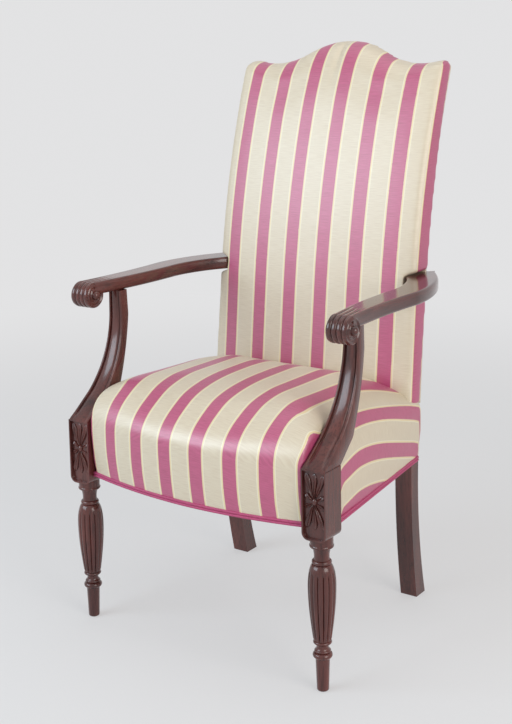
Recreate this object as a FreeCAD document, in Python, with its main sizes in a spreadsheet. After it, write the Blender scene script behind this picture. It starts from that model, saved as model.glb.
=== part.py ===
import FreeCAD, Part
import math
import os

import Sketcher

# Lolling chair in millimetres. +X is the sitter's left-hand side seen from the front, +Y the back, +Z up.
# The origin is on the floor, midway between the sides and midway between the seat's nose and the crest.

REED_COUNT = 14
RIB_COUNT = 4
WALL_SECTIONS = 3
DOME_SECTIONS = 8
DOME_TOP_ANGLE = 80.0
SEAT_STRAPS = (-150.0, -50.0, 50.0, 150.0)
SEAT_CROSS_STRAPS = 3
BACK_STRAPS = (-110.0, 0.0, 110.0)
BACK_CROSS_STRAPS = 4
LEFT_AND_RIGHT = (("left", -1), ("right", 1))

SIZES = (
    # where the legs stand
    ("front_leg_setback", 262),
    ("leg_spread", 548),
    # front leg, its lengths from the floor up
    ("foot_length", 62),
    ("foot_diameter", 22),
    ("shank_diameter", 26),
    ("ankle_length", 16),
    ("ankle_diameter", 36),
    ("cove_length", 11),
    ("cove_diameter", 22),
    ("bead_length", 6),
    ("bead_diameter", 34),
    ("bulb_lower_length", 102),
    ("bulb_upper_length", 41),
    ("bulb_foot_diameter", 33),
    ("bulb_diameter", 50),
    ("reed_depth", 1.8),
    ("neck_ring_length", 8),
    ("neck_ring_diameter", 35),
    ("neck_length", 24),
    ("neck_diameter", 29),
    ("collar_length", 10),
    ("collar_diameter", 44),
    ("pommel_length", 20),
    ("block_length", 114),
    ("block_width", 47),
    ("block_depth", 52),
    # arm support, measured from the front leg's axis and the block's top
    ("support_ramp_setback", 32),
    ("support_ramp_rise", 46),
    ("support_curve_setback", 76),
    ("support_curve_rise", 106),
    ("support_setback", 97),
    ("support_straight_rise", 190),
    ("support_heel", 6),
    ("support_heel_setback", 75),
    ("support_heel_rise", 38),
    ("support_hollow_gap", 24),
    ("support_hollow_rise", 94),
    ("support_depth", 24),
    ("support_top_width", 29),
    ("support_top_offset", 3.5),
    ("flute_width", 5),
    ("flute_depth", 2.5),
    ("flute_spacing", 17),
    # arm
    ("arm_rise", 240),
    ("arm_thickness", 26),
    ("arm_edge_easing", 2.5),
    ("arm_waist_setback", 150),
    ("arm_waist_inner", 11),
    ("arm_waist_outer", 38),
    ("arm_belly_setback", 280),
    ("arm_belly_inner", 13),
    ("arm_belly_outer", 43),
    ("arm_turn_setback", 352),
    ("arm_turn_inner", 27),
    ("arm_sweep_setback", 405),
    ("arm_sweep_outer", 18),
    ("arm_hold_setback", 412),
    ("arm_hold_length", 36),
    ("arm_tip_length", 36),
    ("arm_tip_width", 28),
    ("scroll_setback", 40),
    ("scroll_radius", 26),
    ("scroll_offset", 2),
    ("scroll_width", 42),
    ("scroll_rib_depth", 2.5),
    ("eye_diameter", 17),
    ("eye_length", 9),
    # rear leg and stile
    ("seat_depth", 392),
    ("rear_leg_rake", 36),
    ("rear_leg_sweep", 11),
    ("rear_foot_depth", 36),
    ("rear_joint_depth", 29),
    ("rear_leg_spread", 482),
    ("rear_leg_splay", 7),
    ("rear_leg_width", 37),
    ("stile_width", 30),
    ("stile_depth", 30),
    # seat rails and their joints
    ("rail_lift", 6),
    ("rail_height", 80),
    ("joint_margin", 6),
    ("front_rail_thickness", 20),
    ("front_rail_setback", 3),
    ("front_rail_bow", 34),
    ("side_rail_thickness", 24),
    ("side_rail_offset", 5),
    ("side_rail_inset", 10),
    ("rear_rail_thickness", 24),
    ("rear_rail_inset", 5),
    ("tenon_length", 18),
    ("tenon_thickness", 10),
    ("tenon_height", 28),
    ("tenon_shoulder", 6),
    ("post_tenon_length", 22),
    ("post_tenon_size", 18),
    ("joint_clearance", 0.15),
    ("soft_clearance", 0.3),
    # corner blocks and fasteners
    ("corner_block_reach", 72),
    ("corner_block_height", 40),
    ("screw_diameter", 5),
    ("screw_head_diameter", 9),
    ("screw_head_length", 3),
    ("corner_screw_length", 34),
    ("corner_screw_edge", 20),
    ("arm_screw_length", 50),
    ("dowel_diameter", 10),
    ("dowel_length", 30),
    # back frame and back upholstery
    ("back_setback", 390),
    ("back_bend_rise", 226),
    ("back_lean_run", 23),
    ("back_rise", 500),
    ("back_mid_sweep", 46),
    ("back_top_sweep", 133),
    ("back_seat_width", 490),
    ("back_waist_width", 474),
    ("back_ear_width", 486),
    ("ear_drop", 50),
    ("ear_rise", 12),
    ("ear_inset", 15),
    ("dip_setback", 71),
    ("dip_drop", 45),
    ("shoulder_half_width", 95),
    ("shoulder_drop", 25),
    ("back_crown", 10),
    ("back_padding", 24),
    ("side_padding", 5),
    ("waist_padding", 21),
    ("crest_height", 70),
    ("back_rail_inset", 0.6),
    ("crest_padding", 8),
    ("lower_rail_rise", 106),
    ("lower_rail_height", 40),
    ("back_cover_rise", 2),
    ("outside_cover_thickness", 2.5),
    # seat upholstery
    ("seat_nose", 61),
    ("seat_bow", 42),
    ("seat_corner_inset", 12),
    ("seat_front_tuck", 24),
    ("seat_side_tuck", 4),
    ("seat_side_offset", 18),
    ("seat_rear_offset", 7),
    ("seat_rear_depth", 32),
    ("seat_edge_drop", 2),
    ("seat_crown_height", 91),
    ("seat_crown_setback", 183),
    ("cover_thickness", 2),
    ("welt_diameter", 9),
    ("welt_gap", 0.9),
    ("strap_width", 50),
    ("strap_thickness", 2),
    ("cloth_thickness", 1),
    ("cloth_margin", 6),
)

os.makedirs("parts", exist_ok=True)
doc = FreeCAD.newDocument("lolling_chair")

sheet = doc.addObject("Spreadsheet::Sheet", "Sizes")
for row, (alias, number) in enumerate(SIZES, 1):
    sheet.set("A%d" % row, alias)
    sheet.set("B%d" % row, str(number))
    sheet.setAlias("B%d" % row, alias)
doc.recompute()


class Size:
    """A dimension that keeps its number together with its formula in the sheet."""

    def __init__(self, number, formula):
        self.number = number
        self.formula = formula

    def __add__(self, other):
        other = as_size(other)
        return Size(self.number + other.number, "(%s + %s)" % (self.formula, other.formula))

    def __sub__(self, other):
        other = as_size(other)
        return Size(self.number - other.number, "(%s - %s)" % (self.formula, other.formula))

    def __mul__(self, other):
        other = as_size(other)
        return Size(self.number * other.number, "(%s * %s)" % (self.formula, other.formula))

    def __truediv__(self, other):
        other = as_size(other)
        return Size(self.number / other.number, "(%s / %s)" % (self.formula, other.formula))

    def __neg__(self):
        return Size(-self.number, "(-%s)" % self.formula)


class Dimensions:
    """Gives each cell of the sheet by its alias."""

    def __getattr__(self, alias):
        return Size(float(sheet.get(alias)), "Sizes." + alias)


def as_size(value):
    return value if isinstance(value, Size) else Size(float(value), repr(float(value)))


def bind(item, prop, value):
    item.setExpression(prop, as_size(value).formula)


def place(item, x, y, z):
    for axis, value in zip("xyz", (x, y, z)):
        bind(item, "Placement.Base." + axis, value)


def vector(u, v, w=0.0):
    return FreeCAD.Vector(*(as_size(value).number for value in (u, v, w)))


# Sketches and the features that use them

def new_body(name):
    return doc.addObject("PartDesign::Body", name)


def new_sketch(body, role, lift=None):
    plane = next(item for item in body.Origin.OriginFeatures if item.Role == role)
    sketch = body.newObject("Sketcher::SketchObject", body.Name + "_sketch")
    sketch.AttachmentSupport = [(plane, "")]
    sketch.MapMode = "FlatFace"
    if lift is not None:
        bind(sketch, "AttachmentOffset.Base.z", lift)
    return sketch


def fix_point(sketch, geometry, end, u, v):
    for kind, value in (("DistanceX", u), ("DistanceY", v)):
        value = as_size(value)
        index = sketch.addConstraint(Sketcher.Constraint(kind, -1, 1, geometry, end, value.number))
        sketch.setExpression("Constraints[%d]" % index, value.formula)


def outline(sketch, corners):
    """Draw a closed loop; a corner (u, v) ends a line, (u, v, via_u, via_v) an arc through a point."""
    pieces = []
    for before, corner in zip(corners[-1:] + corners[:-1], corners):
        start, end = vector(*before[:2]), vector(*corner[:2])
        if len(corner) == 2:
            pieces.append((sketch.addGeometry(Part.LineSegment(start, end)), 1, 2))
            continue
        arc = sketch.addGeometry(Part.Arc(start, vector(*corner[2:]), end))
        forward = sketch.getPoint(arc, 1).distanceToPoint(start) < sketch.getPoint(arc, 2).distanceToPoint(start)
        pieces.append((arc, 1, 2) if forward else (arc, 2, 1))
    for piece, following, corner in zip(pieces, pieces[1:] + pieces[:1], corners):
        sketch.addConstraint(Sketcher.Constraint("Coincident", piece[0], piece[2], following[0], following[1]))
        fix_point(sketch, piece[0], piece[2], *corner[:2])
        if len(corner) == 4:
            point = sketch.addGeometry(Part.Point(vector(*corner[2:])), True)
            sketch.addConstraint(Sketcher.Constraint("PointOnObject", point, 1, piece[0]))
            fix_point(sketch, point, 1, *corner[2:])
    return sketch


def pad(body, sketch, length, symmetric=False):
    feature = body.newObject("PartDesign::Pad", body.Name + "_pad")
    feature.Profile = sketch
    feature.SideType = "Symmetric" if symmetric else "One side"
    bind(feature, "Length", length)
    return feature


def revolve(body, sketch, axis, angle=None):
    feature = body.newObject("PartDesign::Revolution", body.Name + "_turning")
    feature.Profile = sketch
    feature.ReferenceAxis = (sketch, [axis])
    if angle is not None:
        feature.Midplane = True
        feature.setExpression("Angle", angle)
    return feature


def slab(name, role, corners, length, lift=None, symmetric=False):
    """A body padded from one outline."""
    body = new_body(name)
    pad(body, outline(new_sketch(body, role, lift), corners), length, symmetric)
    return body


# Part features

def box(name, low, size, grow=0):
    item = doc.addObject("Part::Box", name)
    place(item, *(as_size(edge) - grow for edge in low))
    for prop, length in zip(("Length", "Width", "Height"), size):
        bind(item, prop, as_size(length) + as_size(grow) * 2)
    return item


def rod(name, start, axis, length, diameter, grow=0):
    """A cylinder from start along +X, +Y or +Z, or the opposite where axis starts with a minus."""
    item = doc.addObject("Part::Cylinder", name)
    direction = {"x": (1, 0, 0), "-x": (-1, 0, 0), "y": (0, 1, 0), "-y": (0, -1, 0), "z": (0, 0, 1)}[axis]
    item.Placement.Rotation = FreeCAD.Rotation(FreeCAD.Vector(0, 0, 1), FreeCAD.Vector(*direction))
    place(item, *start)
    bind(item, "Radius", as_size(diameter) / 2 + grow)
    bind(item, "Height", length)
    return item


def fuse(name, *items):
    item = doc.addObject("Part::MultiFuse", name)
    item.Shapes = list(items)
    return item


def common(name, first, second):
    item = doc.addObject("Part::Common", name)
    item.Base, item.Tool = first, second
    return item


def cut(name, base, *tools):
    item = doc.addObject("Part::Cut", name)
    item.Base = base
    item.Tool = tools[0] if len(tools) == 1 else fuse(name + "_holes", *tools)
    return item


def group(name, *items):
    item = doc.addObject("Part::Compound", name)
    item.Links = list(items)
    return item


def mirror(name, source):
    item = doc.addObject("Part::Mirroring", name)
    item.Source = source
    item.Normal = FreeCAD.Vector(1, 0, 0)
    return item


def screw(name, start, axis, length, grow=0):
    """A screw with its head at start."""
    head = rod(name + "_head", start, axis, d.screw_head_length, d.screw_head_diameter, grow)
    shank = rod(name + "_shank", start, axis, length, d.screw_diameter, grow)
    return fuse(name, head, shank)


d = Dimensions()
nodes = {}

# Levels above the floor
ankle_base = d.foot_length
cove_base = ankle_base + d.ankle_length
bead_base = cove_base + d.cove_length
bulb_base = bead_base + d.bead_length
bulb_belly = bulb_base + d.bulb_lower_length
bulb_top = bulb_belly + d.bulb_upper_length
neck_base = bulb_top + d.neck_ring_length
collar_base = neck_base + d.neck_length
pommel_base = collar_base + d.collar_length
block_base = pommel_base + d.pommel_length
block_top = block_base + d.block_length
rail_bottom = block_base + d.rail_lift
rail_top = rail_bottom + d.rail_height
joint_low = rail_bottom - d.joint_margin
joint_high = rail_top + d.joint_margin
arm_bottom = block_top + d.arm_rise
arm_top = arm_bottom + d.arm_thickness
arm_middle = arm_bottom + d.arm_thickness / 2
bend_level = block_top + d.back_bend_rise
back_peak = bend_level + d.back_rise
ear_level = back_peak - d.ear_drop

# Lines across the plan
leg_x = d.leg_spread / 2
leg_y = -d.front_leg_setback
block_inner = leg_x - d.block_width / 2
block_outer = leg_x + d.block_width / 2
block_rear = leg_y + d.block_depth / 2
rear_leg_front = leg_y + d.seat_depth
rear_leg_outer = d.rear_leg_spread / 2
rear_leg_inner = rear_leg_outer - d.rear_leg_width
stile_waist_outer = d.back_waist_width / 2 - d.waist_padding
stile_waist_inner = stile_waist_outer - d.stile_width


def back_curve(offset):
    """Low end, bend, middle and top of the back's side curve, moved back by an offset."""
    front = leg_y + d.back_setback + offset
    return ((front - d.back_lean_run, block_top),
            (front, bend_level),
            (front + d.back_mid_sweep, bend_level + d.back_rise / 2),
            (front + d.back_top_sweep, back_peak))


# Front legs

def turning_corners():
    """The leg's half profile; the reeded bulb goes round its slim core."""
    shank = d.shank_diameter / 2
    core = d.cove_diameter / 2 + d.reed_depth
    neck = d.neck_diameter / 2
    rim = d.collar_diameter / 2 - d.reed_depth
    return [
        (0, 0),
        (d.foot_diameter / 2, 0),
        (shank, ankle_base),
        (shank, cove_base, d.ankle_diameter / 2, ankle_base + d.ankle_length / 2),
        (core, bead_base, d.cove_diameter / 2, cove_base + d.cove_length * 0.6),
        (core, bulb_base, d.bead_diameter / 2, bead_base + d.bead_length / 2),
        (core, bulb_top),
        (neck, neck_base, d.neck_ring_diameter / 2, bulb_top + d.neck_ring_length / 2),
        (neck, collar_base),
        (rim, pommel_base, d.collar_diameter / 2, collar_base + d.collar_length / 2),
        (rim, block_base),
        (0, block_base),
    ]


def reed_ring(radius, depth, level):
    """One lobed section of the bulb: an arc for each reed."""
    half = math.pi / REED_COUNT
    edges = []
    for reed in range(REED_COUNT):
        middle = 2 * half * reed
        points = [FreeCAD.Vector(r * math.cos(a), r * math.sin(a), level)
                  for r, a in ((radius - depth, middle - half), (radius, middle), (radius - depth, middle + half))]
        edges.append(Part.Arc(*points).toShape())
    return Part.Wire(edges)


def reeded_bulb():
    """The bulb swells from its foot to its belly and closes in over a rounded shoulder."""
    foot, belly = d.bulb_foot_diameter.number / 2, d.bulb_diameter.number / 2
    top = d.neck_ring_diameter.number / 2
    depth = d.reed_depth.number
    rings = []
    for share in (0.0, 0.25, 0.5, 0.75, 1.0):
        swell = math.sin(share * math.pi / 2)
        level = bulb_base.number + share * d.bulb_lower_length.number
        rings.append(reed_ring(foot + (belly - foot) * swell, depth, level))
    for degrees in (30, 60, 85):
        angle = math.radians(degrees)
        level = bulb_belly.number + d.bulb_upper_length.number * math.sin(angle)
        rings.append(reed_ring(top + (belly - top) * math.cos(angle), depth * math.cos(angle), level))
    return Part.makeLoft(rings, True, True)


leg_turning = new_body("leg_turning")
revolve(leg_turning, outline(new_sketch(leg_turning, "XZ_Plane"), turning_corners()), "V_Axis")
place(leg_turning, leg_x, leg_y, 0)

leg_bulb = doc.addObject("Part::Feature", "leg_bulb")
leg_bulb.Shape = reeded_bulb()
place(leg_bulb, leg_x, leg_y, 0)

block_low = (block_inner, leg_y - d.block_depth / 2, pommel_base)
leg_block = box("leg_block", block_low, (d.block_width, d.block_depth, d.pommel_length + d.block_length))
pommel = new_body("leg_pommel")
pommel_reach = d.block_width / 2 + d.block_depth / 2
pommel_foot = d.collar_diameter / 2
revolve(pommel, outline(new_sketch(pommel, "XZ_Plane"), [
    (0, pommel_base),
    (pommel_foot, pommel_base),
    (pommel_reach, block_base, pommel_foot + (pommel_reach - pommel_foot) * 0.72, pommel_base + d.pommel_length * 0.35),
    (pommel_reach, block_top),
    (0, block_top),
]), "V_Axis")
place(pommel, leg_x, leg_y, 0)
leg_blank = fuse("leg_blank", leg_turning, leg_bulb, common("leg_square", leg_block, pommel))

# Tenons, as low corner and size, so that a mortise is the same box grown by the clearance
tenon_middle = d.tenon_thickness / 2
upper_tenon_base = rail_top - d.tenon_shoulder - d.tenon_height
lower_tenon_base = rail_bottom + d.tenon_shoulder
front_rail_end = leg_y + d.front_rail_setback
front_tenon = ((block_inner, front_rail_end + d.front_rail_thickness / 2 - tenon_middle, upper_tenon_base),
               (d.tenon_length, d.tenon_thickness, d.tenon_height))
side_front_x = leg_x + d.side_rail_offset
side_rear_x = rear_leg_outer - d.side_rail_inset
side_front_tenon = ((side_front_x - d.side_rail_thickness / 2 - tenon_middle, block_rear - d.tenon_length,
                     lower_tenon_base),
                    (d.tenon_thickness, d.tenon_length, d.tenon_height))
side_rear_tenon = ((side_rear_x - d.side_rail_thickness / 2 - tenon_middle, rear_leg_front, lower_tenon_base),
                   (d.tenon_thickness, d.tenon_length, d.tenon_height))
rear_rail_front = rear_leg_front + d.rear_rail_inset
rear_tenon = ((rear_leg_inner, rear_rail_front + d.rear_rail_thickness / 2 - tenon_middle, upper_tenon_base),
              (d.tenon_length, d.tenon_thickness, d.tenon_height))
post_tenon = ((leg_x - d.post_tenon_size / 2, leg_y - d.post_tenon_size / 2, block_top - d.post_tenon_length),
              (d.post_tenon_size, d.post_tenon_size, d.post_tenon_length))


def mortise(name, tenon):
    return box(name, *tenon, grow=d.joint_clearance)


nodes["front_leg_right"] = cut(
    "front_leg_right", leg_blank,
    mortise("front_leg_front_mortise", front_tenon),
    mortise("front_leg_side_mortise", side_front_tenon),
    mortise("front_leg_post_mortise", post_tenon))

# Arm supports

support_front = ((leg_y - d.block_depth / 2, block_top),
                 (leg_y + d.support_ramp_setback, block_top + d.support_ramp_rise),
                 (leg_y + d.support_curve_setback, block_top + d.support_curve_rise),
                 (leg_y + d.support_setback, block_top + d.support_straight_rise),
                 (leg_y + d.support_setback, arm_bottom))
support_rear = leg_y + d.support_setback + d.support_depth


def moved_back(points, offset):
    return [(y + offset, z) for y, z in points]


support_hollow = [
    (support_rear, arm_bottom),
    (support_rear, block_top + d.support_straight_rise),
    (leg_y + d.support_heel_setback, block_top + d.support_heel_rise,
     support_rear - d.support_hollow_gap, block_top + d.support_hollow_rise),
    (block_rear + d.support_heel, block_top),
]


def support_corners():
    foot, ramp, curve, straight, top = support_front
    return [foot, ramp, straight + curve, top] + support_hollow


def flute_corners():
    """A strip that follows the support's front face, from just before it to the flute's depth."""
    before = moved_back(support_front, -d.flute_depth)
    behind = moved_back(support_front, d.flute_depth)
    return [before[0], before[1], before[3] + before[2], before[4],
            behind[4], behind[3], behind[1] + behind[2], behind[0]]


support_side = slab("support_side", "YZ_Plane", support_corners(), d.leg_spread, lift=0)
support_top_x = leg_x + d.support_top_offset
support_face = slab("support_face", "XZ_Plane", [
    (block_inner, block_top),
    (support_top_x - d.support_top_width / 2, arm_bottom),
    (support_top_x + d.support_top_width / 2, arm_bottom),
    (block_outer, block_top),
], d.leg_spread * 2, symmetric=True)
support_flutes = [
    slab("support_flute_" + side, "YZ_Plane", flute_corners(), d.flute_width,
         lift=support_top_x + d.flute_spacing * (sign * 0.5) - d.flute_width / 2)
    for side, sign in LEFT_AND_RIGHT]
support_x, support_y = support_top_x, leg_y + d.support_setback + d.support_depth / 2
dowel_start = (support_x, support_y, arm_bottom - d.dowel_length / 2)
dowel_hole = rod("dowel_hole", dowel_start, "z", d.dowel_length, d.dowel_diameter, d.joint_clearance)
support_blank = fuse("support_blank", common("support_sawn", support_side, support_face),
                     box("support_tenon", *post_tenon))
nodes["arm_support_right"] = cut("arm_support_right", support_blank, dowel_hole, *support_flutes)

# Arms

arm_hold_x = stile_waist_outer + d.soft_clearance
arm_hold_end = leg_y + d.arm_hold_setback + d.arm_hold_length
scroll_inner = leg_x + d.scroll_offset
scroll_outer = scroll_inner + d.scroll_width
scroll_y = leg_y + d.scroll_setback
arm_corners = [
    (scroll_inner, scroll_y),
    (leg_x - d.arm_belly_inner, leg_y + d.arm_belly_setback,
     leg_x - d.arm_waist_inner, leg_y + d.arm_waist_setback),
    (arm_hold_x, leg_y + d.arm_hold_setback, leg_x - d.arm_turn_inner, leg_y + d.arm_turn_setback),
    (arm_hold_x, arm_hold_end),
    (arm_hold_x + d.arm_tip_width, arm_hold_end + d.arm_tip_length,
     arm_hold_x + d.arm_tip_width * 0.3, arm_hold_end + d.arm_tip_length * 0.62),
    (leg_x + d.arm_belly_outer, leg_y + d.arm_belly_setback,
     leg_x + d.arm_sweep_outer, leg_y + d.arm_sweep_setback),
    (scroll_outer, scroll_y, leg_x + d.arm_waist_outer, leg_y + d.arm_waist_setback),
]
arm_board = new_body("arm_board")
arm_sketch = outline(new_sketch(arm_board, "XY_Plane", arm_bottom), arm_corners)
arm_pad = pad(arm_board, arm_sketch, d.arm_thickness)
doc.recompute()
arm_easing = arm_board.newObject("PartDesign::Chamfer", "arm_easing")
flat_faces = ["Face%d" % number for number, face in enumerate(arm_pad.Shape.Faces, 1)
              if abs(face.normalAt(0, 0).z) > 0.99]
arm_easing.Base = (arm_pad, flat_faces)
bind(arm_easing, "Size", d.arm_edge_easing)


def scroll_corners():
    """Half profile along the scroll's axis: eye, ribbed roll, eye."""
    eye = d.eye_diameter / 2
    valley = d.scroll_radius - d.scroll_rib_depth
    rib = d.scroll_width / RIB_COUNT
    corners = [(scroll_inner - d.eye_length, 0), (scroll_inner - d.eye_length, eye), (scroll_inner, eye),
               (scroll_inner, valley)]
    for index in range(RIB_COUNT):
        corners.append((scroll_inner + rib * (index + 1), valley, scroll_inner + rib * (index + 0.5), d.scroll_radius))
    return corners + [(scroll_outer, eye), (scroll_outer + d.eye_length, eye), (scroll_outer + d.eye_length, 0)]


scroll = new_body("arm_scroll")
revolve(scroll, outline(new_sketch(scroll, "XY_Plane"), scroll_corners()), "H_Axis")
place(scroll, 0, scroll_y, arm_top - d.scroll_radius)
arm_screw_start = (stile_waist_inner, leg_y + d.arm_hold_setback + d.arm_hold_length / 2, arm_middle)
arm_screw_hole = screw("arm_screw_hole", arm_screw_start, "x", d.arm_screw_length, d.joint_clearance)
nodes["arm_right"] = cut("arm_right", fuse("arm_blank", arm_board, scroll), dowel_hole, arm_screw_hole)

# Rear legs, which run up as the stiles of the back


def rear_leg_side_corners():
    low, bend, middle, top = back_curve(d.back_padding)
    low_rear, bend_rear, middle_rear, top_rear = back_curve(d.back_padding + d.stile_depth)
    foot_front = rear_leg_front + d.rear_leg_rake
    joint_rear = rear_leg_front + d.rear_joint_depth
    foot_rear = foot_front + d.rear_foot_depth
    return [
        (rear_leg_front, joint_low, rear_leg_front + d.rear_leg_sweep, joint_low / 2),
        (rear_leg_front, joint_high),
        low,
        bend,
        top + middle,
        top_rear,
        bend_rear + middle_rear,
        low_rear,
        (joint_rear, joint_high),
        (joint_rear, joint_low),
        (foot_rear, 0, joint_rear + d.rear_leg_sweep, joint_low / 2),
        (foot_front, 0),
    ]


def rear_leg_face_corners():
    outer_low = d.back_seat_width / 2 - d.side_padding
    outer_top = d.back_ear_width / 2 - d.side_padding
    return [
        (rear_leg_outer - d.rear_leg_splay, 0),
        (rear_leg_outer, joint_low),
        (rear_leg_outer, joint_high),
        (outer_low, block_top),
        (outer_top, ear_level, stile_waist_outer, arm_middle),
        (outer_top - d.stile_width, ear_level),
        (outer_low - d.stile_width, block_top, stile_waist_inner, arm_middle),
        (rear_leg_inner, joint_high),
        (rear_leg_inner, joint_low),
        (rear_leg_inner - d.rear_leg_splay, 0),
    ]


frame_depth = d.seat_depth * 4
rear_leg_side = slab("rear_leg_side", "YZ_Plane", rear_leg_side_corners(), d.leg_spread)
rear_leg_face = slab("rear_leg_face", "XZ_Plane", rear_leg_face_corners(), frame_depth, symmetric=True)
rear_leg_blank = common("rear_leg_blank", rear_leg_side, rear_leg_face)
rear_leg_blank_left = mirror("rear_leg_blank_left", rear_leg_blank)

# Crest rail and lower back rail, sawn to the back's curve and fitted between the stiles


def curved_board(name, front, thickness):
    """A wide board that follows the back's side curve."""
    low, bend, middle, top = back_curve(front)
    low_rear, bend_rear, middle_rear, top_rear = back_curve(as_size(front) + thickness)
    return slab(name, "YZ_Plane",
                [low, bend, top + middle, top_rear, bend_rear + middle_rear, low_rear],
                d.leg_spread * 2, symmetric=True)


def camel_corners(padding, ear):
    """The camel top from the right ear to the left one, lowered by the padding."""
    shoulder = (d.shoulder_half_width, back_peak - d.shoulder_drop - padding)
    dip = (d.back_ear_width / 2 - d.dip_setback, back_peak - d.dip_drop - padding)
    return [
        ear,
        shoulder + dip,
        (-shoulder[0], shoulder[1], 0, back_peak - padding),
        (-ear[0], ear[1], -dip[0], dip[1]),
    ]


crest_half = d.back_ear_width / 2 - d.side_padding - d.stile_width / 2
crest_top = camel_corners(d.crest_padding, (crest_half, ear_level))
crest_base = ear_level - d.crest_height
crest_base_half = crest_half - d.stile_width / 4
crest_face = slab("crest_face", "XZ_Plane",
                  crest_top + [(-crest_base_half, crest_base), (crest_base_half, crest_base)],
                  frame_depth, symmetric=True)
back_rail_front = d.back_padding + d.back_rail_inset
back_rail_depth = d.stile_depth - d.back_rail_inset * 2
crest_board = curved_board("crest_board", back_rail_front, back_rail_depth)
crest_sawn = common("crest_sawn", crest_board, crest_face)
lower_rail_base = block_top + d.lower_rail_rise
lower_rail_half = stile_waist_outer - d.stile_width / 2
lower_rail_face = slab("lower_rail_face", "XZ_Plane", [
    (-lower_rail_half, lower_rail_base),
    (lower_rail_half, lower_rail_base),
    (lower_rail_half, lower_rail_base + d.lower_rail_height),
    (-lower_rail_half, lower_rail_base + d.lower_rail_height),
], frame_depth, symmetric=True)
lower_rail_board = curved_board("lower_rail_board", back_rail_front, back_rail_depth)
lower_rail_sawn = common("lower_rail_sawn", lower_rail_board, lower_rail_face)
nodes["crest_rail"] = cut("crest_rail", crest_sawn, rear_leg_blank, rear_leg_blank_left)
nodes["lower_back_rail"] = cut("lower_back_rail", lower_rail_sawn, rear_leg_blank, rear_leg_blank_left)

nodes["rear_leg_right"] = cut(
    "rear_leg_right", rear_leg_blank,
    mortise("rear_leg_side_mortise", side_rear_tenon),
    mortise("rear_leg_rear_mortise", rear_tenon),
    arm_screw_hole)

# Seat rails

front_rail_middle = front_rail_end - d.front_rail_bow
front_rail_board = slab("front_rail_board", "XY_Plane", [
    (block_inner, front_rail_end, 0, front_rail_middle),
    (block_inner, front_rail_end + d.front_rail_thickness),
    (-block_inner, front_rail_end + d.front_rail_thickness, 0, front_rail_middle + d.front_rail_thickness),
    (-block_inner, front_rail_end),
], d.rail_height, lift=rail_bottom)
front_tenon_right = box("front_tenon_right", *front_tenon)
front_rail = fuse("front_rail", front_rail_board, front_tenon_right, mirror("front_tenon_left", front_tenon_right))

side_rail_board = slab("side_rail_board", "XY_Plane", [
    (side_front_x, block_rear),
    (side_rear_x, rear_leg_front),
    (side_rear_x - d.side_rail_thickness, rear_leg_front),
    (side_front_x - d.side_rail_thickness, block_rear),
], d.rail_height, lift=rail_bottom)
side_rail = fuse("side_rail", side_rail_board, box("side_front_tenon", *side_front_tenon),
                 box("side_rear_tenon", *side_rear_tenon))

rear_rail_board = box("rear_rail_board", (-rear_leg_inner, rear_rail_front, rail_bottom),
                      (rear_leg_inner * 2, d.rear_rail_thickness, d.rail_height))
rear_tenon_right = box("rear_tenon_right", *rear_tenon)
rear_rail = fuse("rear_rail", rear_rail_board, rear_tenon_right, mirror("rear_tenon_left", rear_tenon_right))

# Corner blocks and their screws

side_inner_front = side_front_x - d.side_rail_thickness
side_inner_rear = side_rear_x - d.side_rail_thickness
side_slope = (side_inner_front - side_inner_rear) / (rear_leg_front - block_rear)
front_inner = front_rail_end + d.front_rail_thickness
corner_base = rail_bottom + d.tenon_shoulder


def side_inner_x(y):
    return side_inner_rear + side_slope * (rear_leg_front - y)


front_block_y = block_rear + d.corner_block_reach
front_block = slab("front_block", "XY_Plane", [
    (side_inner_x(front_block_y), front_block_y),
    (side_inner_front, block_rear),
    (block_inner, block_rear),
    (block_inner, front_rail_end),
    (block_inner - d.corner_block_reach, front_rail_end),
], d.corner_block_height, lift=corner_base)
rear_block_y = rear_leg_front - d.corner_block_reach
rear_block = slab("rear_block", "XY_Plane", [
    (side_inner_x(rear_block_y), rear_block_y),
    (side_inner_rear, rear_leg_front),
    (rear_leg_inner, rear_leg_front),
    (rear_leg_inner, rear_rail_front),
    (rear_leg_inner - d.corner_block_reach, rear_rail_front),
], d.corner_block_height, lift=corner_base)

corner_middle = corner_base + d.corner_block_height / 2
screw_depth = d.corner_screw_length - d.side_rail_thickness / 2
corner_screw_places = {
    "front_block_front_screw": ((block_inner - d.corner_screw_edge * 2, front_rail_end + d.corner_screw_edge * 1.6,
                                 corner_middle), "-y"),
    "front_block_side_screw": ((side_inner_front - screw_depth, block_rear + d.corner_screw_edge * 1.6,
                                corner_middle), "x"),
    "rear_block_rear_screw": ((rear_leg_inner - d.corner_screw_edge * 1.5, rear_rail_front - screw_depth,
                               corner_middle), "y"),
    "rear_block_side_screw": ((side_inner_rear - screw_depth, rear_leg_front - d.corner_screw_edge * 1.5,
                               corner_middle), "x"),
}
corner_screws = {name: screw(name, start, axis, d.corner_screw_length)
                 for name, (start, axis) in corner_screw_places.items()}
corner_holes = {name: screw(name + "_hole", start, axis, d.corner_screw_length, d.joint_clearance)
                for name, (start, axis) in corner_screw_places.items()}
front_screw_hole = corner_holes["front_block_front_screw"]
front_side_hole = corner_holes["front_block_side_screw"]
rear_screw_hole = corner_holes["rear_block_rear_screw"]
rear_side_hole = corner_holes["rear_block_side_screw"]

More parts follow.
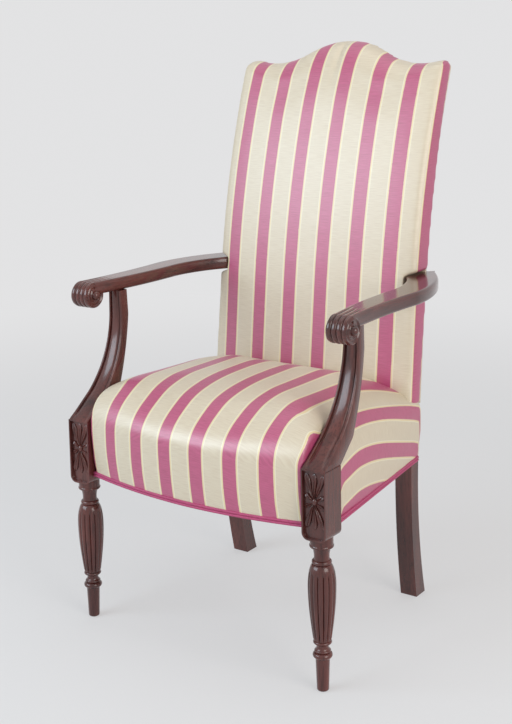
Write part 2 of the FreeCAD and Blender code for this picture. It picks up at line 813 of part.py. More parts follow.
nodes["front_seat_rail"] = cut("front_seat_rail", front_rail, front_screw_hole,
                               mirror("front_screw_hole_left", front_screw_hole))
nodes["rear_seat_rail"] = cut("rear_seat_rail", rear_rail, rear_screw_hole,
                              mirror("rear_screw_hole_left", rear_screw_hole))
nodes["side_seat_rail_right"] = cut("side_seat_rail_right", side_rail, front_side_hole, rear_side_hole)
nodes["corner_block_front_right"] = cut("corner_block_front_right", front_block, front_rail,
                                        front_screw_hole, front_side_hole)
nodes["corner_block_rear_right"] = cut("corner_block_rear_right", rear_block, rear_screw_hole, rear_side_hole)
right_screws = group("right_screws", *corner_screws.values())
nodes["corner_block_screws"] = group("corner_block_screws", right_screws, mirror("left_screws", right_screws))
arm_screw = screw("arm_screw", arm_screw_start, "x", d.arm_screw_length)
nodes["arm_screws"] = group("arm_screws", arm_screw, mirror("arm_screw_left", arm_screw))
arm_dowel = rod("arm_dowel", dowel_start, "z", d.dowel_length, d.dowel_diameter)
nodes["arm_dowels"] = group("arm_dowels", arm_dowel, mirror("arm_dowel_left", arm_dowel))

# Webbing and cloths

strap_level = rail_top + d.joint_clearance
cross_level = strap_level + d.strap_thickness + d.joint_clearance
hessian_level = cross_level + d.strap_thickness + d.joint_clearance
seat_straps = []
for index, x in enumerate(SEAT_STRAPS):
    share = as_size(x) / block_inner
    front = front_rail_end - d.front_rail_bow * (as_size(1) - share * share) + d.cloth_margin
    length = rear_rail_front + d.rear_rail_thickness - d.cloth_margin - front
    seat_straps.append(box("seat_strap_%d" % index, (as_size(x) - d.strap_width / 2, front, strap_level),
                           (d.strap_width, length, d.strap_thickness)))
for index in range(SEAT_CROSS_STRAPS):
    middle = block_rear + (rear_leg_front - block_rear) * ((index + 0.75) / (SEAT_CROSS_STRAPS + 0.5))
    half = side_inner_x(middle + d.strap_width / 2) + d.side_rail_thickness - d.cloth_margin
    seat_straps.append(box("seat_cross_strap_%d" % index, (-half, middle - d.strap_width / 2, cross_level),
                           (half * 2, d.strap_width, d.strap_thickness)))
nodes["seat_webbing"] = group("seat_webbing", *seat_straps)


def seat_cloth(name, level):
    front_x = block_inner - d.cloth_margin
    rear_x = rear_leg_inner - d.soft_clearance
    front_y = front_rail_end + d.cloth_margin
    rear_y = rear_rail_front + d.rear_rail_thickness - d.cloth_margin
    return slab(name, "XY_Plane", [
        (front_x, front_y, 0, front_y - d.front_rail_bow),
        (rear_x, rear_y),
        (-rear_x, rear_y),
        (-front_x, front_y),
    ], d.cloth_thickness, lift=level)


nodes["seat_hessian"] = seat_cloth("seat_hessian", hessian_level)
nodes["dust_cover"] = seat_cloth("dust_cover", rail_bottom - d.cloth_thickness - d.joint_clearance)

back_strap_front = d.back_padding - d.strap_thickness - d.joint_clearance
back_cross_front = back_strap_front - d.strap_thickness - d.joint_clearance
back_hessian_front = back_cross_front - d.cloth_thickness - d.joint_clearance
strap_board = curved_board("back_strap_board", back_strap_front, d.strap_thickness)
cross_board = curved_board("back_cross_board", back_cross_front, d.strap_thickness)
lower_rail_top = lower_rail_base + d.lower_rail_height
strap_foot = lower_rail_base + d.cloth_margin
back_straps = []
for index, x in enumerate(BACK_STRAPS):
    upright = box("back_strap_face_%d" % index, (as_size(x) - d.strap_width / 2, leg_y, strap_foot),
                  (d.strap_width, frame_depth, ear_level - d.cloth_margin - strap_foot))
    back_straps.append(common("back_strap_%d" % index, strap_board, upright))
cross_step = (crest_base - lower_rail_top) / BACK_CROSS_STRAPS
for index in range(BACK_CROSS_STRAPS):
    level = lower_rail_top + cross_step * (index + 0.5) - d.strap_width / 2
    half = stile_waist_outer - d.cloth_margin
    across = box("back_cross_face_%d" % index, (-half, leg_y, level), (half * 2, frame_depth, d.strap_width))
    back_straps.append(common("back_cross_strap_%d" % index, cross_board, across))
nodes["back_webbing"] = group("back_webbing", *back_straps)
hessian_half = stile_waist_outer - d.cloth_margin
hessian_face = box("back_hessian_face", (-hessian_half, leg_y, strap_foot),
                   (hessian_half * 2, frame_depth, ear_level - d.cloth_margin - strap_foot))
nodes["back_hessian"] = common(
    "back_hessian", curved_board("back_hessian_board", back_hessian_front, d.cloth_thickness), hessian_face)

# Soft forms: lofts through lines and arcs

doc.recompute()
soft = d.soft_clearance.number
cover = d.cover_thickness.number
welt_level = rail_bottom.number - d.cloth_thickness.number
far = frame_depth.number


def seat_section(front_inset, side_inset, rear_inset, level, scale=1.0):
    """The seat's plan at one level, drawn in towards the crown by scale."""
    corner_x = leg_x.number - d.seat_corner_inset.number - side_inset
    nose = leg_y.number - d.seat_nose.number + front_inset
    corner_y = nose + d.seat_bow.number
    side_x = leg_x.number + d.seat_side_offset.number - side_inset
    side_y = block_rear.number
    rear_x = rear_leg_outer.number + d.seat_rear_offset.number - side_inset
    rear_y = rear_leg_front.number + d.seat_rear_depth.number - rear_inset
    crown_y = leg_y.number + d.seat_crown_setback.number

    def at(x, y):
        return FreeCAD.Vector(x * scale, crown_y + (y - crown_y) * scale, level)

    def corner(side):
        """The corner's two ends and a point between them, on one side."""
        return (at(side * corner_x, corner_y),
                at(side * (corner_x + side_x * 2) / 3, (corner_y * 2 + side_y) / 3),
                at(side * side_x, side_y))

    left, right = corner(-1), corner(1)
    rear_left, rear_right = at(-rear_x, rear_y), at(rear_x, rear_y)
    return Part.Wire([edge.toShape() for edge in (
        Part.Arc(left[0], at(0, nose), right[0]),
        Part.Arc(*right),
        Part.LineSegment(right[2], rear_right),
        Part.LineSegment(rear_right, rear_left),
        Part.LineSegment(rear_left, left[2]),
        Part.Arc(*reversed(left)))])


def seat_form(inset):
    """Bulging walls under an elliptical crown, all drawn in by an inset."""
    edge_level = block_top.number - d.seat_edge_drop.number
    sections = []
    for step in range(WALL_SECTIONS):
        share = step / WALL_SECTIONS
        tuck = (1 - share) ** 2
        sections.append(seat_section(inset + d.seat_front_tuck.number * tuck, inset + d.seat_side_tuck.number * tuck,
                                     inset, welt_level + (edge_level - welt_level) * share))
    for step in range(DOME_SECTIONS + 1):
        angle = math.radians(DOME_TOP_ANGLE) * step / DOME_SECTIONS
        level = edge_level + (d.seat_crown_height.number - inset) * math.sin(angle)
        sections.append(seat_section(inset, inset, inset, level, math.cos(angle)))
    return Part.makeLoft(sections, True, True)


def grown_face(sketch, clearance):
    wire = Part.Wire(Part.__sortEdges__(sketch.Shape.Edges))
    return Part.Face(wire.makeOffset2D(clearance) if clearance else wire)


def swept(face, start, length):
    """A face moved by start and pushed along length."""
    moved = face.copy()
    moved.translate(FreeCAD.Vector(*start))
    return moved.extrude(FreeCAD.Vector(*length))


def both_sides(shape):
    return [shape, shape.mirror(FreeCAD.Vector(), FreeCAD.Vector(1, 0, 0))]


def sketch_of(body):
    return next(item for item in body.Group if item.TypeId == "Sketcher::SketchObject")


def rear_leg_space(clearance):
    side = swept(grown_face(sketch_of(rear_leg_side), clearance), (0, 0, 0), (far, 0, 0))
    face = swept(grown_face(sketch_of(rear_leg_face), clearance), (0, far / 2, 0), (0, -far, 0))
    return both_sides(side.common(face))


post_side = slab("post_side", "YZ_Plane", support_hollow + [
    (block_rear, block_top),
    (block_rear, 0),
    (leg_y - d.seat_depth, 0),
    (leg_y - d.seat_depth, arm_bottom),
], d.leg_spread)
doc.recompute()


def post_space(clearance):
    """All that lies outside the front posts' inner faces and before their rear faces."""
    inner = block_inner.number - clearance
    return both_sides(swept(grown_face(sketch_of(post_side), clearance), (inner, 0, 0), (far, 0, 0)))


def frame_space(clearance):
    """Everything inside the seat rails' outer faces, up to the top of the hessian."""
    top = hessian_level.number + d.cloth_thickness.number + clearance
    rear = leg_y.number + far
    front_x, rear_x = side_front_x.number + clearance, side_rear_x.number + clearance
    end_y = front_rail_end.number - clearance
    right = [FreeCAD.Vector(block_inner.number, end_y, 0), FreeCAD.Vector(front_x, block_rear.number, 0),
             FreeCAD.Vector(rear_x, rear_leg_front.number, 0)]
    left = [FreeCAD.Vector(-p.x, p.y, 0) for p in right]
    nose = FreeCAD.Vector(0, front_rail_middle.number - clearance, 0)
    edges = [Part.Arc(left[0], nose, right[0])]
    loop = right + [FreeCAD.Vector(rear_x, rear, 0), FreeCAD.Vector(-rear_x, rear, 0)] + left[::-1]
    edges += [Part.LineSegment(a, b) for a, b in zip(loop, loop[1:])]
    face = Part.Face(Part.Wire([edge.toShape() for edge in edges]))
    return face.extrude(FreeCAD.Vector(0, 0, top))


def feature(name, shape):
    item = doc.addObject("Part::Feature", name)
    item.Shape = shape
    nodes[name] = item
    return item


seat_spaces = post_space(soft) + rear_leg_space(soft)
seat_outer = seat_form(0)
seat_inner = seat_form(cover)
behind_back = Part.makeBox((rear_leg_outer.number + soft) * 2, far, far, FreeCAD.Vector(
    -rear_leg_outer.number - soft, back_curve(d.back_padding + d.stile_depth)[0][0].number, 0))
beside_legs = [Part.makeBox(far, far, height, FreeCAD.Vector(x, rear_leg_front.number - soft, 0)) for x, height in (
    (-far / 2, hessian_level.number + d.cloth_thickness.number + soft),
    (rear_leg_inner.number - soft, far),
    (soft - rear_leg_inner.number - far, far))]
seat_spaces.append(behind_back)
feature("seat_cover", seat_outer.cut([seat_inner] + seat_spaces))
feature("seat_stuffing", seat_form(cover + soft).cut([frame_space(soft)] + beside_legs + seat_spaces))


def back_slab(front, rear, crown):
    """A slab along the back's curve and down to the rails, its front falling back by the crown towards the sides."""
    half = leg_x.number
    sections = []
    for share in (-1.0, -0.5, 0.0, 0.5, 1.0):
        edges = []
        feet = []
        for offset in (front + crown * share ** 2, rear):
            low, bend, middle, top = [FreeCAD.Vector(share * half, y.number, z.number) for y, z in back_curve(offset)]
            foot = FreeCAD.Vector(low.x, low.y, rail_bottom.number)
            edges += [Part.LineSegment(foot, low), Part.LineSegment(low, bend), Part.Arc(bend, middle, top)]
            feet.append((foot, top))
        edges += [Part.LineSegment(*feet_or_tops) for feet_or_tops in zip(*feet)]
        sections.append(Part.Wire(Part.__sortEdges__([edge.toShape() for edge in edges])))
    return Part.makeLoft(sections, True, False)


back_ear = (d.back_ear_width / 2 - d.ear_inset, ear_level + d.ear_rise)
camel_top = camel_corners(0, back_ear)
back_foot = block_top + d.back_cover_rise
back_side = d.back_ear_width / 2
ear_round = d.ear_inset * 0.3
back_face = slab("back_face", "XZ_Plane", [
    (back_side, ear_level, d.back_waist_width / 2, arm_middle),
    (back_ear[0], back_ear[1], back_side - ear_round, back_ear[1] - ear_round),
] + camel_top[1:] + [
    (-back_side, ear_level, ear_round - back_side, back_ear[1] - ear_round),
    (-d.back_seat_width / 2, back_foot, -d.back_waist_width / 2, arm_middle),
    (d.back_seat_width / 2, back_foot),
], frame_depth, symmetric=True)
skirt_half = d.back_seat_width / 2 - d.cover_thickness - d.soft_clearance
outside_skirt = slab("outside_skirt", "XZ_Plane", [
    (rear_leg_outer, rail_bottom),
    (skirt_half, back_foot + d.cloth_margin),
    (-skirt_half, back_foot + d.cloth_margin),
    (-rear_leg_outer, rail_bottom),
], frame_depth, symmetric=True)
doc.recompute()


def back_prism(inset):
    return swept(grown_face(sketch_of(back_face), -inset), (0, far / 2, 0), (0, -far, 0))


def back_form(front, rear, inset, crown):
    return back_slab(front, rear, crown).common(back_prism(inset))


arm_space = both_sides(swept(grown_face(arm_sketch, soft), (0, 0, -soft), (0, 0, d.arm_thickness.number + 2 * soft)))
stile_front, stile_rear = d.back_padding.number, d.back_padding.number + d.stile_depth.number
outside = d.outside_cover_thickness.number
crown = d.back_crown.number
seat_space = [seat_form(-soft)] + arm_space
back_outer = back_form(0, stile_rear + soft + outside, 0, crown)
back_inner = back_form(cover, far, cover, crown)
feature("back_cover", back_outer.cut([back_inner] + seat_space + rear_leg_space(soft)))
back_filling = back_form(cover + soft, back_hessian_front.number - soft, cover + soft, crown)
feature("back_stuffing", back_filling.cut(seat_space))
outside_sheet = back_slab(stile_rear + soft, stile_rear + soft + outside, 0)
outside_shape = back_prism(cover + soft).fuse(outside_skirt.Shape).removeSplitter()
feature("outside_back_cover", outside_sheet.common(outside_shape).cut(seat_space))

# Welts along the seat cover's lower edge

welt_radius = d.welt_diameter / 2
bow_half = leg_x - d.seat_corner_inset - d.seat_side_tuck
bow_radius = bow_half * bow_half / (d.seat_bow * 2) + d.seat_bow / 2
front_welt = new_body("seat_welt_front")
welt_path = bow_radius + welt_radius + d.welt_gap
welt_sketch = new_sketch(front_welt, "YZ_Plane")
welt_circle = welt_sketch.addGeometry(Part.Circle(vector(-welt_path, 0), FreeCAD.Vector(0, 0, 1), welt_radius.number))
fix_point(welt_sketch, welt_circle, 3, -welt_path, 0)
radius_index = welt_sketch.addConstraint(Sketcher.Constraint("Radius", welt_circle, welt_radius.number))
welt_sketch.setExpression("Constraints[%d]" % radius_index, welt_radius.formula)
welt_reach = (block_inner - d.soft_clearance) / welt_path
revolve(front_welt, welt_sketch, "V_Axis", "2 * asin(%s)" % welt_reach.formula)
welt_center_y = leg_y - d.seat_nose + d.seat_front_tuck + bow_radius
place(front_welt, 0, welt_center_y, rail_bottom - d.cloth_thickness)
nodes["seat_welt_front"] = front_welt


def side_welt():
    """A straight welt from behind the front leg to the rear corner."""
    stand_off = d.seat_side_tuck.number - welt_radius.number - d.welt_gap.number
    start = FreeCAD.Vector(leg_x.number + d.seat_side_offset.number - stand_off, block_rear.number + soft, welt_level)
    rear_y = rear_leg_front.number + d.seat_rear_depth.number
    end = FreeCAD.Vector(rear_leg_outer.number + d.seat_rear_offset.number - stand_off, rear_y, welt_level)
    tube = Part.makeCylinder(welt_radius.number, (end - start).Length, start, end - start)
    return tube.cut(post_space(soft))


feature("seat_welt_right", side_welt())

# Left-hand pieces mirror the right-hand ones

for name in [name for name in nodes if name.endswith("_right")]:
    left_name = name[:-len("right")] + "left"
    nodes[left_name] = mirror(left_name, nodes[name])

doc.recompute()
for item in doc.Objects:
    if "Invalid" in item.State or "Error" in item.State:
        raise RuntimeError("%s failed: %s" % (item.Name, item.State))
for name, item in nodes.items():
    item.Label = name
    if item.Shape.isNull() or not item.Shape.isValid() or not item.Shape.Solids:
        raise RuntimeError("%s has no valid solid" % name)
for name, item in sorted(nodes.items()):
    item.Shape.exportStep("parts/%s.step" % name)
    print("%-26s solids %2d  volume %10.0f" % (name, len(item.Shape.Solids), item.Shape.Volume))
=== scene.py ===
import math

import bmesh
import bpy
from mathutils import Matrix, Vector


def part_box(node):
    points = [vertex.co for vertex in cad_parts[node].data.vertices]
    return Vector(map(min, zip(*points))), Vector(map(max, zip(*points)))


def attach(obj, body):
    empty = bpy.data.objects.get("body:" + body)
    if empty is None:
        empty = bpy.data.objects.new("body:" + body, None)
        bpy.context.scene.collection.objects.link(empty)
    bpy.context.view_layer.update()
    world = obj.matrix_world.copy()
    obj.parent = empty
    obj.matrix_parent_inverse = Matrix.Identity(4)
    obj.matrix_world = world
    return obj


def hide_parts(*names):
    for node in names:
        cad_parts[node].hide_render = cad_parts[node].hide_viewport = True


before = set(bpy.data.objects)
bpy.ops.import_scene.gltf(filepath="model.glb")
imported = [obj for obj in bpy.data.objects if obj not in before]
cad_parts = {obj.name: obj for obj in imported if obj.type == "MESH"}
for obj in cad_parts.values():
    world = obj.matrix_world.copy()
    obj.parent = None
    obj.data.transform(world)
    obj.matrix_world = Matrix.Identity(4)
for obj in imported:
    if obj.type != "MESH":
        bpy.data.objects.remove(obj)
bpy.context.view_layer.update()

scene = bpy.context.scene

# Places taken from the frame, in metres
leg_low, leg_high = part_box("front_leg_right")
support_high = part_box("arm_support_right")[1]
arm_low, arm_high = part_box("arm_right")
seat_low, seat_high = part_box("seat_cover")
back_low, back_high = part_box("back_cover")
rear_leg_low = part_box("rear_leg_right")[0]
block_half_width = (leg_high.x - leg_low.x) / 2
block_half_depth = (leg_high.y - leg_low.y) / 2
leg_x = leg_low.x + block_half_width
leg_y = leg_low.y + block_half_depth
block_inner = leg_low.x
block_rear = leg_high.y
block_top = leg_high.z

# Levels of the turned leg
ANKLE_BASE = 0.062
ANKLE_TOP = 0.073
COVE_BASE = 0.078
COVE_WAIST = 0.0845
BEAD_BASE = 0.089
BULB_BASE = 0.095
BULB_BELLY = 0.197
BULB_TOP = 0.238
NECK_BASE = 0.246
NECK_WAIST = 0.256
COLLAR_BASE = 0.269
COLLAR_BEAD = 0.2715
COLLAR_TOP = 0.2745
POMMEL_BASE = 0.286
BLOCK_BASE = 0.300

# Radii of the turned leg
FOOT_RADIUS = 0.011
SHANK_RADIUS = 0.013
ANKLE_RADIUS = 0.018
FILLET_STAND = 0.002
COVE_RADIUS = 0.011
BEAD_RADIUS = 0.017
BULB_FOOT_RADIUS = 0.0165
BELLY_RADIUS = 0.0255
NECK_RING_RADIUS = 0.018
NECK_RADIUS = 0.0142
COLLAR_RADIUS = 0.022
COLLAR_STEP = 0.0012
REED_COUNT = 14
REED_DEPTH = 0.0032
REED_TIP_LEVEL = 0.2325
TURNING_STEPS = REED_COUNT * 8

# Arm and scroll
ARM_THICKNESS = 0.026
ARM_EDGE_RADIUS = 0.006
SCROLL_RADIUS = 0.026
SCROLL_WIDTH = 0.042
RIB_COUNT = 4
RIB_DEPTH = 0.0032
RIB_FADE = 0.075
EYE_RADIUS = 0.0085
EYE_LENGTH = 0.009
SCROLL_STEPS = 72

# Stripes across the cloth
STRIPE_PERIOD = 0.0765
PINK_WIDTH = 0.029
BACK_STRIPE_SHIFT = 0.006
SEAT_EDGE_LEVEL = 0.412


def smooth_step(low, high, value):
    share = min(max((value - low) / (high - low), 0.0), 1.0)
    return share * share * (3 - 2 * share)


def mix(first, second, share):
    return first + (second - first) * share


def round_drop(share):
    """How far a half circle falls from its crown, from 0 at the middle to 1 at the edge."""
    return 1 - math.sqrt(max(0.0, 1 - share * share))


def circle(a, b, c):
    """Centre and radius of the circle through three points."""
    (ax, ay), (bx, by), (cx, cy) = a, b, c
    det = 2 * (ax * (by - cy) + bx * (cy - ay) + cx * (ay - by))
    aa, bb, cc = ax * ax + ay * ay, bx * bx + by * by, cx * cx + cy * cy
    centre = Vector(((aa * (by - cy) + bb * (cy - ay) + cc * (ay - by)) / det,
                     (aa * (cx - bx) + bb * (ax - cx) + cc * (bx - ax)) / det))
    return centre, (Vector(a) - centre).length


def arc(start, end, via, count):
    """Points on the arc from start to end through via, with start left out."""
    centre, radius = circle(start, via, end)
    first, middle, last = (math.atan2(p[1] - centre.y, p[0] - centre.x) for p in (start, via, end))
    turn = (last - first) % math.tau
    if (middle - first) % math.tau > turn:
        turn -= math.tau
    angles = [first + turn * step / count for step in range(1, count + 1)]
    return [(centre.x + radius * math.cos(a), centre.y + radius * math.sin(a)) for a in angles]


def line(start, end, count):
    """Points on a straight run, with start left out."""
    return [(mix(start[0], end[0], step / count), mix(start[1], end[1], step / count))
            for step in range(1, count + 1)]


def along(points, share):
    """The point at a share of a list of evenly spread points."""
    place = share * (len(points) - 1)
    index = min(int(place), len(points) - 2)
    return tuple(mix(a, b, place - index) for a, b in zip(points[index], points[index + 1]))


def linked(name, data):
    """A new object in the scene."""
    item = bpy.data.objects.new(name, data)
    scene.collection.objects.link(item)
    return item


def mesh_from(bm, name):
    """A new mesh with a bmesh's shape; the bmesh is freed."""
    mesh = bpy.data.meshes.new(name)
    bm.to_mesh(mesh)
    bm.free()
    return mesh


def finished(name, bm, material, nodes, sharp=40):
    """Makes a bmesh a piece that rides on the frame in place of some nodes."""
    bmesh.ops.remove_doubles(bm, verts=bm.verts, dist=1e-5)
    bmesh.ops.recalc_face_normals(bm, faces=bm.faces)
    mesh = mesh_from(bm, name)
    mesh.shade_smooth()
    if sharp:
        mesh.set_sharp_from_angle(angle=math.radians(sharp))
    mesh.materials.append(material)
    piece = linked(name, mesh)
    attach(piece, "root")
    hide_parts(*nodes)
    return piece


def sweep(bm, rings):
    """Extrudes a closed ring of points from each ring of places to the next, and caps both ends."""
    loop = [bm.verts.new(place) for place in rings[0]]
    edges = [bm.edges.new(pair) for pair in zip(loop, loop[1:] + loop[:1])]
    bmesh.ops.contextual_create(bm, geom=edges)
    for ring in rings[1:]:
        made = bmesh.ops.extrude_edge_only(bm, edges=edges)["geom"]
        fresh = {item for item in made if isinstance(item, bmesh.types.BMVert)}
        loop = [next(e.other_vert(v) for e in v.link_edges if e.other_vert(v) in fresh) for v in loop]
        for vert, place in zip(loop, ring):
            vert.co = place
        edges = [bm.edges.get(pair) for pair in zip(loop, loop[1:] + loop[:1])]
    bmesh.ops.contextual_create(bm, geom=edges)


def turned(bm, profile, axis, steps):
    """Spins a profile of places once round an axis through the origin."""
    verts = [bm.verts.new(place) for place in profile]
    edges = [bm.edges.new(pair) for pair in zip(verts, verts[1:])]
    bmesh.ops.spin(bm, geom=verts + edges, cent=(0, 0, 0), axis=axis, angle=math.tau, steps=steps,
                   use_merge=True)
    bmesh.ops.remove_doubles(bm, verts=bm.verts, dist=1e-6)


# Materials


def new_material(name):
    material = bpy.data.materials.new(name)
    material.use_nodes = True
    tree = material.node_tree
    return material, tree, tree.nodes["Principled BSDF"]


def set_inputs(tree, item, **inputs):
    """Gives each named input of a node a value, or a socket to link."""
    for name, value in inputs.items():
        key = int(name[1:]) if name[0] == "i" and name[1:].isdigit() else name.replace("_", " ")
        if isinstance(value, bpy.types.NodeSocket):
            tree.links.new(value, item.inputs[key])
        else:
            item.inputs[key].default_value = value


def node(tree, kind, settings=(), **inputs):
    """Adds a node and sets its own settings and then its inputs."""
    item = tree.nodes.new(kind)
    for name, value in dict(settings).items():
        setattr(item, name, value)
    set_inputs(tree, item, **inputs)
    return item


def math_node(tree, operation, first, second=0.0, third=0.0):
    return node(tree, "ShaderNodeMath", {"operation": operation}, i0=first, i1=second, i2=third).outputs[0]


def ramp(tree, factor, stops):
    item = node(tree, "ShaderNodeValToRGB", i0=factor)
    elements = item.color_ramp.elements
    while len(elements) < len(stops):
        elements.new(0.5)
    for element, (position, colour) in zip(elements, stops):
        element.position = position
        element.color = (*colour, 1.0)
    return item.outputs["Color"]


def blend(tree, factor, first, second, blend_type="MIX"):
    """Mixes two colours, each a socket or three shares of light."""
    first, second = ((*side, 1.0) if isinstance(side, tuple) else side for side in (first, second))
    item = node(tree, "ShaderNodeMix", {"data_type": "RGBA", "blend_type": blend_type}, i0=factor, i6=first,
                i7=second)
    return item.outputs[2]


def new_group(name, inputs, outputs):
    group = bpy.data.node_groups.new(name, "ShaderNodeTree")
    for label, kind in inputs:
        group.interface.new_socket(label, in_out="INPUT", socket_type=kind)
    for label, kind in outputs:
        group.interface.new_socket(label, in_out="OUTPUT", socket_type=kind)
    return group, group.nodes.new("NodeGroupInput"), group.nodes.new("NodeGroupOutput")


def weave_group():
    """Crossing threads: a height for the bump and a shade that varies from thread to thread."""
    group, ins, outs = new_group(
        "weave_threads",
        [("Place", "NodeSocketVector"), ("Threads", "NodeSocketFloat")],
        [("Height", "NodeSocketFloat"), ("Shade", "NodeSocketFloat")])
    scaled = node(group, "ShaderNodeVectorMath", {"operation": "SCALE"}, i0=ins.outputs["Place"],
                  Scale=ins.outputs["Threads"])
    parts = node(group, "ShaderNodeSeparateXYZ", i0=scaled.outputs[0])

    def ridges(place):
        turn = math_node(group, "MULTIPLY", place, math.pi)
        return math_node(group, "ABSOLUTE", math_node(group, "SINE", turn))

    warp, weft = ridges(parts.outputs[0]), ridges(parts.outputs[1])
    stretch = node(group, "ShaderNodeVectorMath", {"operation": "MULTIPLY"}, i0=scaled.outputs[0],
                   i1=(0.05, 1.0, 1.0))
    slubs = node(group, "ShaderNodeTexNoise", i0=stretch.outputs[0], Scale=0.9, Detail=3.0)
    set_inputs(group, outs, Height=math_node(group, "MULTIPLY_ADD", weft, 0.6, warp), Shade=slubs.outputs[0])
    return group


def figure_group():
    """Timber figure: long streaks of light and dark, fine pores and a patina, along the grain."""
    group, ins, outs = new_group(
        "timber_figure", [("Place", "NodeSocketVector")],
        [("Streak", "NodeSocketFloat"), ("Pores", "NodeSocketFloat"), ("Patina", "NodeSocketFloat")])
    streak = node(group, "ShaderNodeTexNoise", i0=ins.outputs["Place"], Scale=26.0, Detail=6.0, Roughness=0.6,
                  Distortion=0.4)
    pores = node(group, "ShaderNodeTexNoise", i0=ins.outputs["Place"], Scale=260.0, Detail=2.0)
    patina = node(group, "ShaderNodeTexNoise", i0=ins.outputs["Place"], Scale=7.0, Detail=3.0)
    set_inputs(group, outs, Streak=streak.outputs[0], Pores=pores.outputs[0], Patina=patina.outputs[0])
    return group


weave_threads = weave_group()
timber_figure = figure_group()
GRAIN_STRETCH = 0.09
BLACK = (0.0, 0.0, 0.0)
WHITE = (1.0, 1.0, 1.0)


def timber(name, along_axis, dark, light, roughness, coat):
    """Polished or plain timber with its grain along one axis."""
    material, tree, shader = new_material(name)
    scale = [1.0, 1.0, 1.0]
    scale[along_axis] = GRAIN_STRETCH
    place = node(tree, "ShaderNodeTexCoord").outputs["Object"]
    grain = node(tree, "ShaderNodeMapping", Vector=place, Scale=scale).outputs[0]
    figure = node(tree, "ShaderNodeGroup", {"node_tree": timber_figure}, Place=grain)
    colour = ramp(tree, figure.outputs["Streak"], [(0.30, dark), (0.72, light)])
    pores = ramp(tree, figure.outputs["Pores"], [(0.34, (0.45, 0.45, 0.45)), (0.5, WHITE)])
    gloss = node(tree, "ShaderNodeMapRange", i0=figure.outputs["Patina"], To_Min=roughness * 0.8,
                 To_Max=roughness * 1.35)
    bump = node(tree, "ShaderNodeBump", Strength=0.12, Distance=0.0004, Height=figure.outputs["Pores"])
    set_inputs(tree, shader, Base_Color=blend(tree, 0.6, colour, pores, "MULTIPLY"),
               Roughness=gloss.outputs[0], Normal=bump.outputs[0], Specular_IOR_Level=0.35,
               Coat_Weight=coat, Coat_Roughness=0.12)
    return material


CREAM = (0.69, 0.60, 0.45)
CREAM_SHADE = (0.63, 0.53, 0.385)
IVORY = (0.80, 0.74, 0.56)
GOLD = (0.80, 0.64, 0.33)
PINK = (0.50, 0.075, 0.185)
PINK_SHADE = (0.41, 0.050, 0.140)


def striped_satin():
    """Cream and rose stripes with gold threads at the cream's edges, read from the cloth's own places."""
    material, tree, shader = new_material("striped_satin")
    place = node(tree, "ShaderNodeAttribute", {"attribute_name": "cloth_place"}).outputs["Vector"]
    across = node(tree, "ShaderNodeSeparateXYZ", i0=place).outputs[0]
    turn = math_node(tree, "MULTIPLY_ADD", across, 1 / STRIPE_PERIOD, 0.5)
    offset = math_node(tree, "ABSOLUTE", math_node(tree, "SUBTRACT", math_node(tree, "FRACT", turn), 0.5))
    share = math_node(tree, "MULTIPLY", offset, 2.0)
    threads = node(tree, "ShaderNodeGroup", {"node_tree": weave_threads}, Place=place, Threads=900.0)
    cream = ramp(tree, threads.outputs["Shade"], [(0.35, CREAM_SHADE), (0.6, CREAM)])
    pink = ramp(tree, threads.outputs["Shade"], [(0.35, PINK_SHADE), (0.6, PINK)])
    edge = 1 - PINK_WIDTH / STRIPE_PERIOD

    def band(begins, full, fades, ends):
        """White in a band of cream with soft edges, each given by its distance from the pink's edge."""
        return ramp(tree, share, [(edge - begins, BLACK), (edge - full, WHITE), (edge - fades, WHITE),
                                  (edge - ends, BLACK)])

    is_pink = ramp(tree, share, [(edge - 0.008, BLACK), (edge + 0.008, WHITE)])
    edged = blend(tree, band(0.135, 0.12, 0.085, 0.075), cream, IVORY)
    is_gold = math_node(tree, "MULTIPLY", band(0.09, 0.075, 0.02, 0.005), 0.85)
    gilded = blend(tree, is_gold, edged, GOLD)
    rough = ramp(tree, is_pink, [(0.0, (0.38, 0.38, 0.38)), (1.0, (0.36, 0.36, 0.36))])
    bump = node(tree, "ShaderNodeBump", Strength=0.25, Distance=0.0003, Height=threads.outputs["Height"])
    set_inputs(tree, shader, Base_Color=blend(tree, is_pink, gilded, pink), Roughness=rough,
               Normal=bump.outputs[0], Specular_IOR_Level=1.0, IOR=1.58, Sheen_Weight=0.06,
               Sheen_Roughness=0.4)
    return material


def plain_cloth(name, dark, light, threads_per_metre, roughness):
    """A plain weave on Object coordinates."""
    material, tree, shader = new_material(name)
    place = node(tree, "ShaderNodeTexCoord").outputs["Object"]
    threads = node(tree, "ShaderNodeGroup", {"node_tree": weave_threads}, Place=place,
                   Threads=threads_per_metre)
    colour = ramp(tree, threads.outputs["Shade"], [(0.35, dark), (0.65, light)])
    bump = node(tree, "ShaderNodeBump", Strength=0.4, Distance=0.0004, Height=threads.outputs["Height"])
    set_inputs(tree, shader, Base_Color=colour, Normal=bump.outputs[0], Roughness=roughness)
    return material


def screw_steel():
    material, tree, shader = new_material("screw_steel")
    place = node(tree, "ShaderNodeTexCoord").outputs["Object"]
    wear = node(tree, "ShaderNodeTexNoise", i0=place, Scale=220.0, Detail=4.0)
    colour = ramp(tree, wear.outputs[0], [(0.3, (0.16, 0.15, 0.14)), (0.7, (0.42, 0.41, 0.39))])
    set_inputs(tree, shader, Base_Color=colour, Metallic=1.0, Roughness=0.4)
    return material


